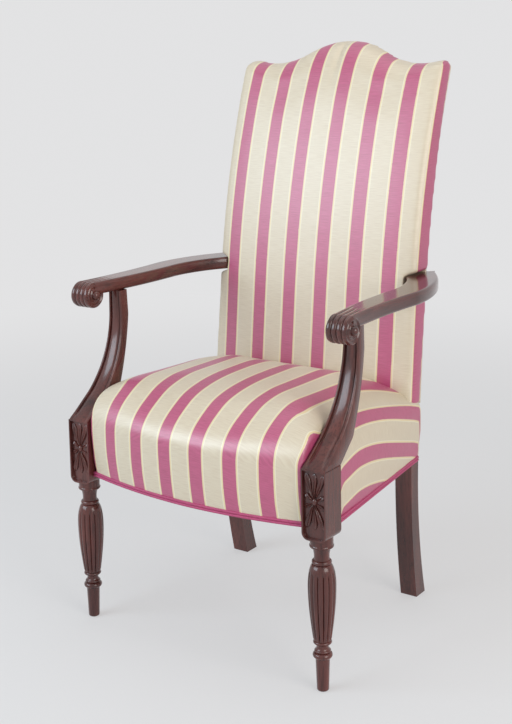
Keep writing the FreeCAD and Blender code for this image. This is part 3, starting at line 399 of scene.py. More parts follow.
MAHOGANY_DARK = (0.042, 0.0105, 0.0090)
MAHOGANY_LIGHT = (0.160, 0.040, 0.031)
mahogany_upright = timber("mahogany_upright", 2, MAHOGANY_DARK, MAHOGANY_LIGHT, 0.24, 0.5)
mahogany_arm = timber("mahogany_arm", 1, MAHOGANY_DARK, MAHOGANY_LIGHT, 0.20, 0.6)
frame_wood = timber("frame_wood", 0, (0.30, 0.19, 0.10), (0.44, 0.30, 0.17), 0.55, 0.0)
striped = striped_satin()
welt_cloth = plain_cloth("welt_cloth", PINK_SHADE, PINK, 900.0, 0.5)
jute = plain_cloth("jute", (0.28, 0.19, 0.10), (0.45, 0.33, 0.19), 400.0, 0.9)
lining = plain_cloth("lining_cloth", (0.012, 0.012, 0.013), (0.03, 0.03, 0.032), 700.0, 0.9)
steel = screw_steel()

# Frame pieces kept as they are, with their finishes

KEPT_FINISHES = (
    (mahogany_upright, ("rear_leg_left", "rear_leg_right")),
    (frame_wood, ("front_seat_rail", "side_seat_rail_left", "side_seat_rail_right", "rear_seat_rail",
                  "crest_rail", "lower_back_rail", "corner_block_front_left", "corner_block_front_right",
                  "corner_block_rear_left", "corner_block_rear_right", "arm_dowels")),
    (steel, ("corner_block_screws", "arm_screws")),
    (jute, ("seat_webbing", "seat_hessian", "back_webbing", "back_hessian")),
)
for finish, names in KEPT_FINISHES:
    for name in names:
        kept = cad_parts[name].data
        kept.materials.clear()
        kept.materials.append(finish)

# Front legs


def leg_profile():
    """Radius and level from the foot's middle up to the pommel."""
    points = [(0.0, 0.0), (FOOT_RADIUS * 0.7, 0.0)]
    points += arc(points[-1], (FOOT_RADIUS, 0.004), (FOOT_RADIUS * 0.936, 0.0012), 5)
    points += line(points[-1], (SHANK_RADIUS, ANKLE_BASE), 8)
    points += arc(points[-1], (SHANK_RADIUS, ANKLE_TOP), (ANKLE_RADIUS, (ANKLE_BASE + ANKLE_TOP) / 2), 10)
    points += arc(points[-1], (SHANK_RADIUS, COVE_BASE),
                  (SHANK_RADIUS + FILLET_STAND, (ANKLE_TOP + COVE_BASE) / 2), 5)
    points += arc(points[-1], (SHANK_RADIUS, BEAD_BASE), (COVE_RADIUS, COVE_WAIST), 8)
    points += arc(points[-1], (SHANK_RADIUS, BULB_BASE), (BEAD_RADIUS, (BEAD_BASE + BULB_BASE) / 2), 8)
    points += [(BULB_FOOT_RADIUS - 0.001, BULB_BASE + 0.0005)]
    for step in range(1, 33):
        share = step / 32
        points.append((mix(BULB_FOOT_RADIUS, BELLY_RADIUS, math.sin(share * math.pi / 2)),
                       mix(BULB_BASE + 0.001, BULB_BELLY, share)))
    for step in range(1, 25):
        angle = math.radians(86) * step / 24
        points.append((mix(NECK_RADIUS + 0.001, BELLY_RADIUS, math.cos(angle)),
                       BULB_BELLY + (BULB_TOP - BULB_BELLY) * math.sin(angle)))
    points += arc(points[-1], (NECK_RADIUS, NECK_BASE), (NECK_RING_RADIUS, (BULB_TOP + NECK_BASE) / 2), 8)
    points += arc(points[-1], (NECK_RADIUS + 0.003, COLLAR_BASE), (NECK_RADIUS - 0.0002, NECK_WAIST), 10)
    points += arc(points[-1], (COLLAR_RADIUS - COLLAR_STEP, COLLAR_TOP), (COLLAR_RADIUS, COLLAR_BEAD), 8)
    return points + line(points[-1], (COLLAR_RADIUS - COLLAR_STEP, BLOCK_BASE), 3) + [(0.0, BLOCK_BASE)]


def reed_wave(angle):
    """From 0 on a reed's crest to 1 in the valley beside it."""
    across = 2 * ((angle * REED_COUNT / math.tau) % 1.0) - 1
    return across, round_drop(across)


def carve_reeds(bm):
    for vert in bm.verts:
        if not BULB_BASE < vert.co.z < BULB_TOP:
            continue
        across, valley = reed_wave(math.atan2(vert.co.y, vert.co.x))
        tip = REED_TIP_LEVEL - 0.010 * across * across
        depth = REED_DEPTH * smooth_step(BULB_BASE, BULB_BASE + 0.006, vert.co.z)
        depth *= 1 - smooth_step(tip - 0.004, tip, vert.co.z)
        radius = math.hypot(vert.co.x, vert.co.y)
        scale = (radius - depth * valley) / radius
        vert.co.x *= scale
        vert.co.y *= scale


PETALS = ((0, 0.048, 0.0080), (20, 0.050, 0.0086), (-20, 0.050, 0.0086),
          (180, 0.048, 0.0080), (160, 0.050, 0.0086), (200, 0.050, 0.0086),
          (58, 0.020, 0.0066), (-58, 0.020, 0.0066), (122, 0.020, 0.0066), (238, 0.020, 0.0066))
SHOULDER_RADIUS = 0.013
PANEL_BORDER = 0.0032
PANEL_SINK = 0.0056
VEIN_DEPTH = 0.6
VEIN_WIDTH = 0.34
BOSS_SIZE = (0.0052, 0.0050, 0.0066)


def carved_petal(bm, centre, degrees, length, half_width):
    """A pointed petal with a sunk vein, lying on the panel's floor."""
    petal = bmesh.ops.create_uvsphere(bm, u_segments=24, v_segments=14, radius=1.0)["verts"]
    for vert in petal:
        vert.co.y *= 1 - VEIN_DEPTH * math.exp(-(vert.co.x / VEIN_WIDTH) ** 2)
        vert.co.x *= 0.56 + 0.46 * vert.co.z
    shape = Matrix.Diagonal((half_width, PANEL_SINK, length / 2, 1.0))
    lift = Matrix.Translation((0, 0, length / 2 + 0.003))
    turn = Matrix.Rotation(math.radians(degrees), 4, "Y")
    bmesh.ops.transform(bm, matrix=Matrix.Translation(centre) @ turn @ lift @ shape, verts=petal)


def carve_block(bm):
    """The square block with a sunk panel of petals on its front."""
    middle = (POMMEL_BASE + block_top) / 2
    size = Matrix.Diagonal((block_half_width * 2, block_half_depth * 2, block_top - POMMEL_BASE, 1.0))
    verts = bmesh.ops.create_cube(bm, size=1.0, matrix=Matrix.Translation((0, 0, middle)) @ size)["verts"]
    edges = {edge for vert in verts for edge in vert.link_edges}
    lower = [edge for edge in edges if all(v.co.z < middle for v in edge.verts)
             and abs(edge.verts[0].co.y - edge.verts[1].co.y) > block_half_depth]
    bmesh.ops.bevel(bm, geom=lower, offset=SHOULDER_RADIUS, affect="EDGES", segments=8, profile=0.5,
                    material=-1)
    front = [face for face in bm.faces if face.normal.y < -0.9
             and face.calc_area() > block_half_width * (block_top - POMMEL_BASE)]
    bmesh.ops.inset_individual(bm, faces=front, thickness=PANEL_BORDER, depth=0.0)
    bmesh.ops.inset_individual(bm, faces=front, thickness=0.0012, depth=-PANEL_SINK)
    floor = Vector((0, PANEL_SINK - block_half_depth, (BLOCK_BASE + block_top) / 2))
    for degrees, length, half_width in PETALS:
        carved_petal(bm, floor, degrees, length, half_width)
    boss = bmesh.ops.create_uvsphere(bm, u_segments=20, v_segments=12, radius=1.0)["verts"]
    bmesh.ops.transform(bm, verts=boss,
                        matrix=Matrix.Translation(floor) @ Matrix.Diagonal((*BOSS_SIZE, 1.0)))


def front_leg(side, sign):
    bm = bmesh.new()
    turned(bm, [(radius, 0.0, level) for radius, level in leg_profile()], (0, 0, 1), TURNING_STEPS)
    carve_reeds(bm)
    carve_block(bm)
    bmesh.ops.translate(bm, verts=bm.verts, vec=(sign * leg_x, leg_y, 0))
    finished("turned_leg_" + side, bm, mahogany_upright, ["front_leg_" + side])


# Arm supports

SUPPORT_FRONT = ((0.0, 0.0), (0.058, 0.046), (0.102, 0.106), (0.123, 0.190), (0.123, 0.240))
SUPPORT_REAR = ((0.058, 0.0), (0.101, 0.038), (0.123, 0.094), (0.147, 0.190), (0.147, 0.240))
SUPPORT_TOP_HALF = 0.0145
SUPPORT_LEDGE = 0.0012
SUPPORT_TOP_OFFSET = 0.0035
MOULDING_DEPTH = 0.0048
MOULDING_POINTS = 50
SUPPORT_STATIONS = 48


def post_curve(places):
    """A post's side line: a ramp, a bend and a straight top."""
    foot, ramp_end, bend, straight, top = places
    return ([foot] + line(foot, ramp_end, 10) + arc(ramp_end, straight, bend, 24) + line(straight, top, 8))


def moulding(across):
    """Depth below the front face of a bead at each edge and a broad reed between two grooves."""
    distance = abs(across)
    if distance > 0.72:
        bead = (distance - 0.86) / 0.14
        return 0.6 * round_drop(bead)
    reed = min(distance / 0.62, 1.0)
    return 1 - 0.92 * math.sqrt(max(0.0, 1 - reed ** 2.6))


def support_ring(share):
    front_y, front_z = along(post_curve(SUPPORT_FRONT), share)
    rear_y, rear_z = along(post_curve(SUPPORT_REAR), share)
    front = Vector((0, leg_low.y + max(front_y, SUPPORT_LEDGE), block_top + front_z))
    rear = Vector((0, leg_low.y + rear_y, block_top + rear_z))
    inward = (rear - front).normalized()
    depth = MOULDING_DEPTH * smooth_step(-0.02, 0.10, share)

    def at(place, across):
        rise = (place.z - block_top) / (support_high.z - block_top)
        half = mix(block_half_width - SUPPORT_LEDGE, SUPPORT_TOP_HALF, rise)
        return place + Vector((leg_x + SUPPORT_TOP_OFFSET * rise + half * across, 0, 0))

    ring = []
    for step in range(MOULDING_POINTS + 1):
        across = 2 * step / MOULDING_POINTS - 1
        ring.append(at(front + inward * depth * moulding(across), across))
    ring += [at(front.lerp(rear, deep), 1.0) for deep in (0.4, 0.9)]
    ring += [at(rear, across) for across in (0.92, 0.3, -0.3, -0.92)]
    ring += [at(front.lerp(rear, deep), -1.0) for deep in (0.9, 0.4)]
    return ring


def mirrored(bm, sign):
    """Turns a right-hand shape into a left-hand one where the sign says so."""
    if sign < 0:
        bmesh.ops.scale(bm, vec=(-1, 1, 1), verts=bm.verts)


def arm_support(side, sign):
    bm = bmesh.new()
    sweep(bm, [support_ring(step / SUPPORT_STATIONS) for step in range(SUPPORT_STATIONS + 1)])
    mirrored(bm, sign)
    finished("moulded_support_" + side, bm, mahogany_upright, ["arm_support_" + side])


# Arms

scroll_inner = arm_high.x - EYE_LENGTH - SCROLL_WIDTH
scroll_outer = arm_high.x - EYE_LENGTH
scroll_y = arm_low.y + SCROLL_RADIUS
arm_top = arm_high.z
arm_bottom = arm_top - ARM_THICKNESS
ARM_INNER_WAIST = (-0.011, 0.150)
ARM_OUTER_WAIST = (0.038, 0.150)
ARM_INNER_BELLY = (-0.013, 0.280)
ARM_OUTER_BELLY = (0.043, 0.280)
ARM_INNER_TURN = (-0.027, 0.352)
ARM_OUTER_SWEEP = (0.018, 0.405)
ARM_HOLD = (-0.0577, 0.412)
ARM_HOLD_END = (-0.0577, 0.448)
ARM_TIP_BEND = (-0.0493, 0.470)
ARM_TIP = (-0.0297, 0.484)
ARM_TOP_POINTS = 40
ARM_STATIONS = 72


def from_leg(place):
    return leg_x + place[0], leg_y + place[1]


def arm_inner_line():
    start = (scroll_inner, scroll_y)
    belly, hold, hold_end = from_leg(ARM_INNER_BELLY), from_leg(ARM_HOLD), from_leg(ARM_HOLD_END)
    return ([start] + arc(start, belly, from_leg(ARM_INNER_WAIST), 30)
            + arc(belly, hold, from_leg(ARM_INNER_TURN), 18) + line(hold, hold_end, 4)
            + arc(hold_end, from_leg(ARM_TIP), from_leg(ARM_TIP_BEND), 6))


def arm_outer_line():
    start = (scroll_outer, scroll_y)
    belly, tip = from_leg(ARM_OUTER_BELLY), from_leg(ARM_TIP)
    return ([start] + arc(start, belly, from_leg(ARM_OUTER_WAIST), 30)
            + arc(belly, tip, from_leg(ARM_OUTER_SWEEP), 28))


def rib_valley(across):
    """From 0 on a rib's crest to 1 between ribs, across the scroll's width."""
    return round_drop(2 * ((across * RIB_COUNT) % 1.0) - 1)


def arm_ring(share):
    inner = Vector((*along(arm_inner_line(), share), 0))
    outer = Vector((*along(arm_outer_line(), share), 0))
    width = max((outer - inner).length, 0.004)
    radius = min(ARM_EDGE_RADIUS, width * 0.45)
    rib_depth = RIB_DEPTH * (1 - smooth_step(0.0, RIB_FADE, (inner.y + outer.y) / 2 - scroll_y))
    easing = 1 - smooth_step(0.0, 0.03, inner.y - scroll_y)

    def at(across, up):
        place = inner.lerp(outer, across / width)
        return Vector((place.x, place.y, arm_bottom + up))

    ring = []
    for step in range(ARM_TOP_POINTS + 1):
        across = step / ARM_TOP_POINTS
        edge = min(across, 1 - across) * width
        drop = radius - math.sqrt(radius ** 2 - max(radius - edge, 0.0) ** 2)
        ribs = rib_depth * rib_valley(min(across, 0.9999))
        ring.append(at(across * width, ARM_THICKNESS - mix(drop, min(drop, 0.001), easing) - ribs))
    corner = [math.radians(angle) for angle in (0, 30, 60, 90)]
    ring += [at(width - radius * (1 - math.cos(a)), radius * (1 - math.sin(a))) for a in corner]
    ring += [at(radius * (1 - math.sin(a)), radius * (1 - math.cos(a))) for a in corner]
    return ring


def scroll_profile():
    """Places along the scroll's axis: eye, volute face, ribbed roll, volute face, eye."""
    def half(x, outward):
        tip = x + outward * EYE_LENGTH
        shown = [(tip, 0.0)] + arc((tip, 0.0), (x + outward * 0.003, EYE_RADIUS),
                                   (tip - outward * 0.0022, EYE_RADIUS * 0.74), 8)
        shown += line(shown[-1], (x - outward * 0.001, EYE_RADIUS + 0.0008), 2)
        return shown + line(shown[-1], (x, SCROLL_RADIUS - 0.003), 12)

    left = half(scroll_inner, -1)
    right = half(scroll_outer, 1)
    roll = []
    for step in range(1, RIB_COUNT * 10):
        across = step / (RIB_COUNT * 10)
        roll.append((mix(scroll_inner, scroll_outer, across), SCROLL_RADIUS - RIB_DEPTH * rib_valley(across)))
    return left + roll + right[::-1]


VOLUTE_PITCH = 0.0088
VOLUTE_HEIGHT = 0.0026


def carve_volutes(bm):
    """A spiral ridge winds in to the eye on both ends of the scroll."""
    for vert in bm.verts:
        radius = math.hypot(vert.co.y, vert.co.z)
        outward = 1 if vert.co.x > (scroll_inner + scroll_outer) / 2 else -1
        face = scroll_outer if outward > 0 else scroll_inner
        if abs(vert.co.x - face) > 0.0012 or not EYE_RADIUS < radius < SCROLL_RADIUS - 0.001:
            continue
        turn = math.atan2(vert.co.z, -vert.co.y) / math.tau
        wave = 0.5 + 0.5 * math.cos(math.tau * ((SCROLL_RADIUS - radius) / VOLUTE_PITCH + turn))
        vert.co.x += outward * VOLUTE_HEIGHT * (wave - 0.6)


def arm(side, sign):
    bm = bmesh.new()
    turned(bm, [(x, radius, 0.0) for x, radius in scroll_profile()], (1, 0, 0), SCROLL_STEPS)
    carve_volutes(bm)
    bmesh.ops.translate(bm, verts=bm.verts, vec=(0, scroll_y, arm_top - SCROLL_RADIUS))
    sweep(bm, [arm_ring(step / ARM_STATIONS) for step in range(ARM_STATIONS + 1)])
    mirrored(bm, sign)
    finished("scrolled_arm_" + side, bm, mahogany_arm, ["arm_" + side])


for side, sign in (("left", -1), ("right", 1)):
    front_leg(side, sign)
    arm_support(side, sign)
    arm(side, sign)

# Seat

SEAT_NOSE = 0.054
SEAT_BOW = 0.036
SEAT_CORNER_INSET = 0.012
SEAT_SIDE_OFFSET = 0.018
SEAT_REAR_HALF = 0.248
SEAT_FRONT_TUCK = 0.011
SEAT_SIDE_TUCK = 0.004
SEAT_CROWN_HEIGHT = 0.091
SEAT_CROWN_Y = leg_y + 0.183
SEAT_FRONT_FULLNESS = 2.5
SEAT_SIDE_FULLNESS = 3.8
SEAT_REAR_FULLNESS = 1.15
SEAT_SWELL = 0.001
SEAT_PUFF = 0.005
SEAT_VOXEL = 0.006
POST_GAP = 0.001
seat_base = seat_low.z - 0.003
seat_nose_y = leg_y - SEAT_NOSE
seat_rear_y = seat_high.y


def seat_ring(front_inset, side_inset, level, scale):
    """The seat's plan at one level, drawn in towards the crown by scale."""
    corner = (leg_x - SEAT_CORNER_INSET - side_inset, seat_nose_y + front_inset + SEAT_BOW)
    nose = (0.0, seat_nose_y + front_inset)
    side = (leg_x + SEAT_SIDE_OFFSET - side_inset, block_rear)
    bend = ((corner[0] + side[0] * 2) / 3, (corner[1] * 2 + side[1]) / 3)
    rear = (SEAT_REAR_HALF - side_inset, seat_rear_y)
    right = (arc(nose, corner, (corner[0] / 2, nose[1] + SEAT_BOW * 0.26), 30) + arc(corner, side, bend, 12)
             + line(side, rear, 40) + line(rear, (0.0, rear[1]), 24))
    left = [(-x, y) for x, y in reversed(right[:-1])]
    return [Vector((x * scale, SEAT_CROWN_Y + (y - SEAT_CROWN_Y) * scale, level))
            for x, y in right + left + [nose]]


def seat_rings(inset):
    rings = []
    for step in range(12):
        share = step / 12
        tuck = (1 - share) ** 2
        rings.append(seat_ring(inset + SEAT_FRONT_TUCK * tuck, inset + SEAT_SIDE_TUCK * tuck,
                               mix(seat_base, SEAT_EDGE_LEVEL, share), 1.0))
    for step in range(26):
        scale = math.cos(math.radians(88) * step / 25)
        ring = seat_ring(inset, inset, SEAT_EDGE_LEVEL, scale)
        for place in ring:
            ahead = mix(SEAT_FRONT_FULLNESS, SEAT_SIDE_FULLNESS, smooth_step(0.08, 0.22, abs(place.x)))
            fullness = mix(ahead, SEAT_REAR_FULLNESS, smooth_step(-0.02, 0.13, place.y))
            place.z += (SEAT_CROWN_HEIGHT - inset) * math.sqrt(1 - min(scale, 1.0) ** fullness)
        rings.append(ring)
    return rings


def post_faces(z):
    """The inner face and the rear face of a front post at a level."""
    if z < block_top:
        return block_inner, block_rear
    rise = min((z - block_top) / (support_high.z - block_top), 1.0)
    inner = leg_x + SUPPORT_TOP_OFFSET * rise - mix(block_half_width, SUPPORT_TOP_HALF, rise)
    rear = next((y for y, up in post_curve(SUPPORT_REAR) if up >= z - block_top), SUPPORT_REAR[-1][0])
    return inner, leg_low.y + rear


def clear_posts(place):
    """Moves a place out of the corner that each front post stands in."""
    inner, rear = post_faces(place.z)
    inner, rear = inner - POST_GAP, rear + POST_GAP
    side = math.copysign(1.0, place.x)
    if abs(place.x) <= inner or place.y >= rear:
        return place
    if abs(place.x) - inner < rear - place.y:
        return Vector((side * inner, place.y, place.z))
    return Vector((place.x, rear, place.z))


FRONT_STRETCH = 0.05
SIDE_STRETCH = 0.06
SIDE_CORNER_STRETCH = 0.02
CORNER_EASING = 1.3


def quarter_arc(half, height, end):
    """Length of an elliptical arch from its crown out to an angle."""
    count = 12
    total = 0.0
    for step in range(count):
        angle = end * (step + 0.5) / count
        total += math.hypot(half * math.cos(angle), height * math.sin(angle))
    return total * end / count


def seat_half_width(y):
    return mix(leg_x + SEAT_SIDE_OFFSET, SEAT_REAR_HALF, (y - block_rear) / (seat_rear_y - block_rear))


def seat_cloth_place(place):
    """Across and along the seat's cloth: arched over the crown, down the sides, straight on the front."""
    reach = seat_nose_y if place.y < SEAT_CROWN_Y else seat_rear_y
    run = min(abs((place.y - SEAT_CROWN_Y) / (reach - SEAT_CROWN_Y)), 0.999)
    arch = SEAT_CROWN_HEIGHT * math.sqrt(1 - run * run)
    half = seat_half_width(max(place.y, block_rear))
    outward = abs(place.x) / half
    below = max(SEAT_EDGE_LEVEL - place.z, 0.0)
    side = smooth_step(block_rear - 0.02, block_rear + 0.03, place.y)
    side *= 1 - smooth_step(seat_rear_y - 0.015, seat_rear_y - 0.003, place.y)
    rise = max(place.z - SEAT_EDGE_LEVEL, 0.0)
    by_width, by_height = math.asin(min(outward, 1.0)), math.atan2(outward, rise / arch)
    turn = mix(by_width, by_height, side * smooth_step(0.6, 0.95, outward))
    # the cloth is drawn out round the front corners and let in again along the sides
    behind = place.y - block_rear
    eased = CORNER_EASING * smooth_step(0.68, 0.95, outward) * smooth_step(0.0, 0.05, rise)
    ahead = FRONT_STRETCH * (1 - smooth_step(-0.06, 0.14, behind)) * (1 - eased)
    corner = mix(SIDE_CORNER_STRETCH, FRONT_STRETCH, smooth_step(0.0, 0.04, rise))
    beside = mix(corner, SIDE_STRETCH, smooth_step(0.0, 0.1, behind)) * (1 - smooth_step(0.1, 0.34, behind))
    stretch = mix(ahead, beside, smooth_step(0.55, 0.85, outward) * smooth_step(-0.05, 0.03, behind))
    across = quarter_arc(half, arch, turn) * (1 + stretch)
    across += below * side * smooth_step(0.7, 0.95, outward)
    return Vector((math.copysign(across, place.x), place.y - below * (1 - side), 0.0))


def set_cloth_place(piece, rule):
    """Keeps each point's place on the flat cloth, which the stripes follow."""
    places = piece.data.attributes.new("cloth_place", "FLOAT_VECTOR", "POINT")
    for item, vert in zip(places.data, piece.data.vertices):
        item.vector = rule(vert.co)


SWELL_EASING = 30
SWELL_FRAMES = 20
PAD_PRESSURE = 4.0
CLOTH_STIFFNESS = 30.0
PAD_RELAXING = 2


def puff(piece, cap, is_held):
    """Swells a pad with the cloth solver: outwards, up to a cap and evened between neighbours."""
    held = piece.vertex_groups.new(name="held")
    held.add([v.index for v in piece.data.vertices if is_held(v.co)], 1.0, "REPLACE")
    cloth = piece.modifiers.new("cover", "CLOTH")
    settings = cloth.settings
    settings.quality = 4
    settings.use_pressure = True
    settings.uniform_pressure_force = PAD_PRESSURE
    settings.vertex_group_mass = "held"
    settings.effector_weights.gravity = 0.0
    settings.tension_stiffness = CLOTH_STIFFNESS
    settings.compression_stiffness = CLOTH_STIFFNESS
    for step in range(1, SWELL_FRAMES + 1):
        scene.frame_set(step)
    swollen = piece.evaluated_get(bpy.context.evaluated_depsgraph_get()).to_mesh()
    swelling = [min(max((moved.co - vert.co).dot(vert.normal), 0.0), cap)
                for vert, moved in zip(piece.data.vertices, swollen.vertices)]
    for _ in range(SWELL_EASING):
        shared = [[swell] for swell in swelling]
        for a, b in (edge.vertices for edge in piece.data.edges):
            shared[a].append(swelling[b])
            shared[b].append(swelling[a])
        swelling = [sum(swells) / len(swells) for swells in shared]
    outward = [vert.normal.copy() for vert in piece.data.vertices]
    for vert, normal, swell in zip(piece.data.vertices, outward, swelling):
        vert.co += normal * swell
    piece.modifiers.remove(cloth)
    piece.vertex_groups.clear()
    scene.frame_set(1)


def relax(piece):
    """Evens out the steps that the remeshing leaves."""
    bm = bmesh.new()
    bm.from_mesh(piece.data)
    for _ in range(PAD_RELAXING):
        bmesh.ops.smooth_vert(bm, verts=bm.verts, factor=0.5, use_axis_x=True, use_axis_y=True,
                              use_axis_z=True)
    bm.to_mesh(piece.data)
    bm.free()


def pad_from(rings, name, voxel):
    """A closed form swept through rings and remeshed into even quads."""
    bm = bmesh.new()
    sweep(bm, rings)
    bmesh.ops.triangulate(bm, faces=[face for face in bm.faces if len(face.verts) > 4])
    bmesh.ops.recalc_face_normals(bm, faces=bm.faces)
    pad = linked(name, mesh_from(bm, name + "_form"))
    remesh = pad.modifiers.new("even_quads", "REMESH")
    remesh.mode = "VOXEL"
    remesh.voxel_size = voxel
    remesh.use_smooth_shade = True
    shaped = bpy.data.meshes.new_from_object(pad.evaluated_get(bpy.context.evaluated_depsgraph_get()))
    pad.modifiers.clear()
    pad.data = shaped
    return pad


def upholstered(piece, nodes):
    piece.data.materials.clear()
    piece.data.materials.append(striped)
    piece.data.shade_smooth()
    even = piece.modifiers.new("even", "SUBSURF")
    even.levels = 1
    even.render_levels = 1
    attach(piece, "root")
    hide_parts(*nodes)


def seat_pad():
    rings = [[clear_posts(place) for place in ring] for ring in seat_rings(SEAT_SWELL)]
    pad = pad_from(rings, "seat_pad", SEAT_VOXEL)
    relax(pad)
    puff(pad, SEAT_PUFF, lambda place: place.z < seat_base + 0.008 or place.y > seat_rear_y - 0.03)
    for vert in pad.data.vertices:
        vert.co = clear_posts(vert.co)
    set_cloth_place(pad, seat_cloth_place)
    upholstered(pad, ("seat_cover", "seat_stuffing"))


# Back

BACK_PEAK = back_high.z + 0.002
BACK_FOOT = back_low.z
BACK_LOW_FRONT = (0.105, 0.414)
BACK_BEND = (0.128, 0.640)
BACK_MIDDLE = (0.174, 0.890)
BACK_TOP = (0.261, 1.140)
BACK_DEPTH = 0.0568
BACK_SWELL = -0.0015
BACK_PUFF = 0.004
BACK_VOXEL = 0.0065
BACK_CROWN = 0.016
BACK_REAR_SWELL = 0.011
BACK_ROLL_HEIGHT = 0.068
BACK_ROLL_DEPTH = 0.036
BACK_FOOT_HALF = 0.245
BACK_WAIST = (0.240, 0.667)
BACK_EAR_SIDE = (0.243, 1.090)
BACK_EAR_BEND = (0.2385, 1.0975)
BACK_EAR_TOP = (0.228, 1.102)
BACK_DIP = (0.172, 1.095)
BACK_SHOULDER = (0.095, 1.115)
BACK_EDGE_RADIUS = 0.012
BACK_REAR_TURN = 0.012
BACK_CENTRE = Vector((0.0, 0.760))
REAR_RING_SHARES = (0.985, 0.8, 0.6, 0.4, 0.2, 0.05, 0.0)
FRONT_RING_SHARES = (0.045, 0.06, 0.08, 0.1, 0.13, 0.17, 0.22, 0.35, 0.5, 0.65, 0.8, 0.985)
sweep_centre, sweep_radius = circle(BACK_BEND, BACK_MIDDLE, BACK_TOP)


def camel_line():
    """The top of the right half, from the ear in to the peak."""
    peak = (0.0, BACK_PEAK)
    rise = (BACK_SHOULDER[0] * 0.52, mix(BACK_SHOULDER[1], BACK_PEAK, 0.735))
    return arc(BACK_EAR_TOP, BACK_SHOULDER, BACK_DIP, 22) + arc(BACK_SHOULDER, peak, rise, 16)


top_edge = [BACK_EAR_TOP] + camel_line()


def back_roll(x, z):
    """How far the front rolls back near the top edge."""
    level = BACK_EAR_TOP[1]
    for (outer, high), (inner, higher) in zip(top_edge, top_edge[1:]):
        if inner <= abs(x) <= outer:
            level = mix(high, higher, (outer - abs(x)) / (outer - inner))
    near = min(max(1 - (level - z) / BACK_ROLL_HEIGHT, 0.0), 1.0)
    return BACK_ROLL_DEPTH * round_drop(near)


def rear_depth(z):
    """The back's depth: fuller at the middle of its height."""
    share = min(max((z - BACK_LOW_FRONT[1]) / (BACK_EAR_TOP[1] - BACK_LOW_FRONT[1]), 0.0), 1.0)
    return BACK_DEPTH + BACK_REAR_SWELL * math.sin(math.pi * share)


def back_front_y(z):
    """The front of the back at its middle line: straight at the foot, then swept back."""
    if z < BACK_LOW_FRONT[1]:
        return BACK_LOW_FRONT[0]
    if z < BACK_BEND[1]:
        rise = (z - BACK_LOW_FRONT[1]) / (BACK_BEND[1] - BACK_LOW_FRONT[1])
        return mix(BACK_LOW_FRONT[0], BACK_BEND[0], rise)
    return sweep_centre.x - math.sqrt(sweep_radius ** 2 - (z - sweep_centre.y) ** 2)


def back_outline(foot):
    """The camel back's outline from the foot up the right side and down the left."""
    low = (BACK_FOOT_HALF, foot)
    right = [low] + arc(low, BACK_EAR_SIDE, BACK_WAIST, 90)
    right += arc(BACK_EAR_SIDE, BACK_EAR_TOP, BACK_EAR_BEND, 5)
    right += camel_line()
    left = [(-x, z) for x, z in reversed(right[:-1])]
    return right + left + line(left[-1], low, 60)[:-1]


def drawn_in(point, inset):
    """A point of the outline moved towards the back's centre."""
    place = Vector(point)
    inward = BACK_CENTRE - place
    return place + inward.normalized() * min(inset, inward.length * 0.98)


def back_rings(inset):
    outline = [drawn_in(point, inset) for point in back_outline(BACK_FOOT)]
    farthest = max((point - BACK_CENTRE).length for point in outline)

    def front(point):
        crown = BACK_CROWN * (point.x / BACK_FOOT_HALF) ** 2
        return back_front_y(point.y) + max(crown, back_roll(point.x, point.y)) + inset

    def rear(point):
        return back_front_y(point.y) + rear_depth(point.y)

    def ring(share, depth):
        points = [point.lerp(BACK_CENTRE, share) for point in outline]
        return [Vector((point.x, depth(point), point.y)) for point in points]

    rings = [ring(share, rear) for share in REAR_RING_SHARES]
    for share in (0.33, 0.66):
        rings.append(ring(0.0, lambda p, s=share: mix(rear(p), front(p) + BACK_EDGE_RADIUS, s)))
    for degrees in range(0, 91, 15):
        angle = math.radians(degrees)
        setback = BACK_EDGE_RADIUS * (1 - math.sin(angle))
        share = BACK_EDGE_RADIUS * (1 - math.cos(angle)) / farthest
        rings.append(ring(share, lambda p, s=setback: front(p) + s))
    return rings + [ring(share, front) for share in FRONT_RING_SHARES]


def back_half_width(z):
    centre, radius = circle((BACK_FOOT_HALF, BACK_FOOT), BACK_WAIST, BACK_EAR_SIDE)
    return centre.x - math.sqrt(max(radius ** 2 - (z - centre.y) ** 2, 0.0))


def back_cloth_place(place):
    """Across and along the back's cloth, which turns round the sides on to the rear."""
    half = back_half_width(place.z)
    depth = max(place.y - back_front_y(place.z) - BACK_CROWN, 0.0)
    deepest = BACK_DEPTH - BACK_CROWN - BACK_REAR_TURN
    across = abs(place.x)
    if across > half - BACK_EDGE_RADIUS - BACK_REAR_TURN * smooth_step(0.8, 1.0, depth / deepest):
        across = mix(across, half, smooth_step(0.3, 0.9, depth / deepest)) + min(depth, deepest)
    return Vector((math.copysign(across, place.x) + BACK_STRIPE_SHIFT, place.z, 0.0))


def clear_arms(place):
    """Draws the cover in where the arms meet the stiles."""
    within = arm_bottom - 0.004 < place.z < arm_top + 0.004 and place.y > leg_y + ARM_HOLD[1] - 0.01
    limit = leg_x + ARM_HOLD[0] - 0.0005
    if within and abs(place.x) > limit:
        return Vector((math.copysign(limit, place.x), place.y, place.z))
    return place


def back_pad():
    pad = pad_from(back_rings(BACK_SWELL), "back_pad", BACK_VOXEL)
    relax(pad)
    puff(pad, BACK_PUFF, lambda place: place.y > back_front_y(place.z) + rear_depth(place.z) - 0.012)
    for vert in pad.data.vertices:
        vert.co = clear_arms(vert.co)
    set_cloth_place(pad, back_cloth_place)
    upholstered(pad, ("back_cover", "back_stuffing"))


seat_pad()
back_pad()

# Outside back, stretched over the frame and down over the rear rail

outside_low, outside_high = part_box("outside_back_cover")
OUTSIDE_INSET = 0.0045
OUTSIDE_THICKNESS = 0.0018
OUTSIDE_STAND = 0.0016


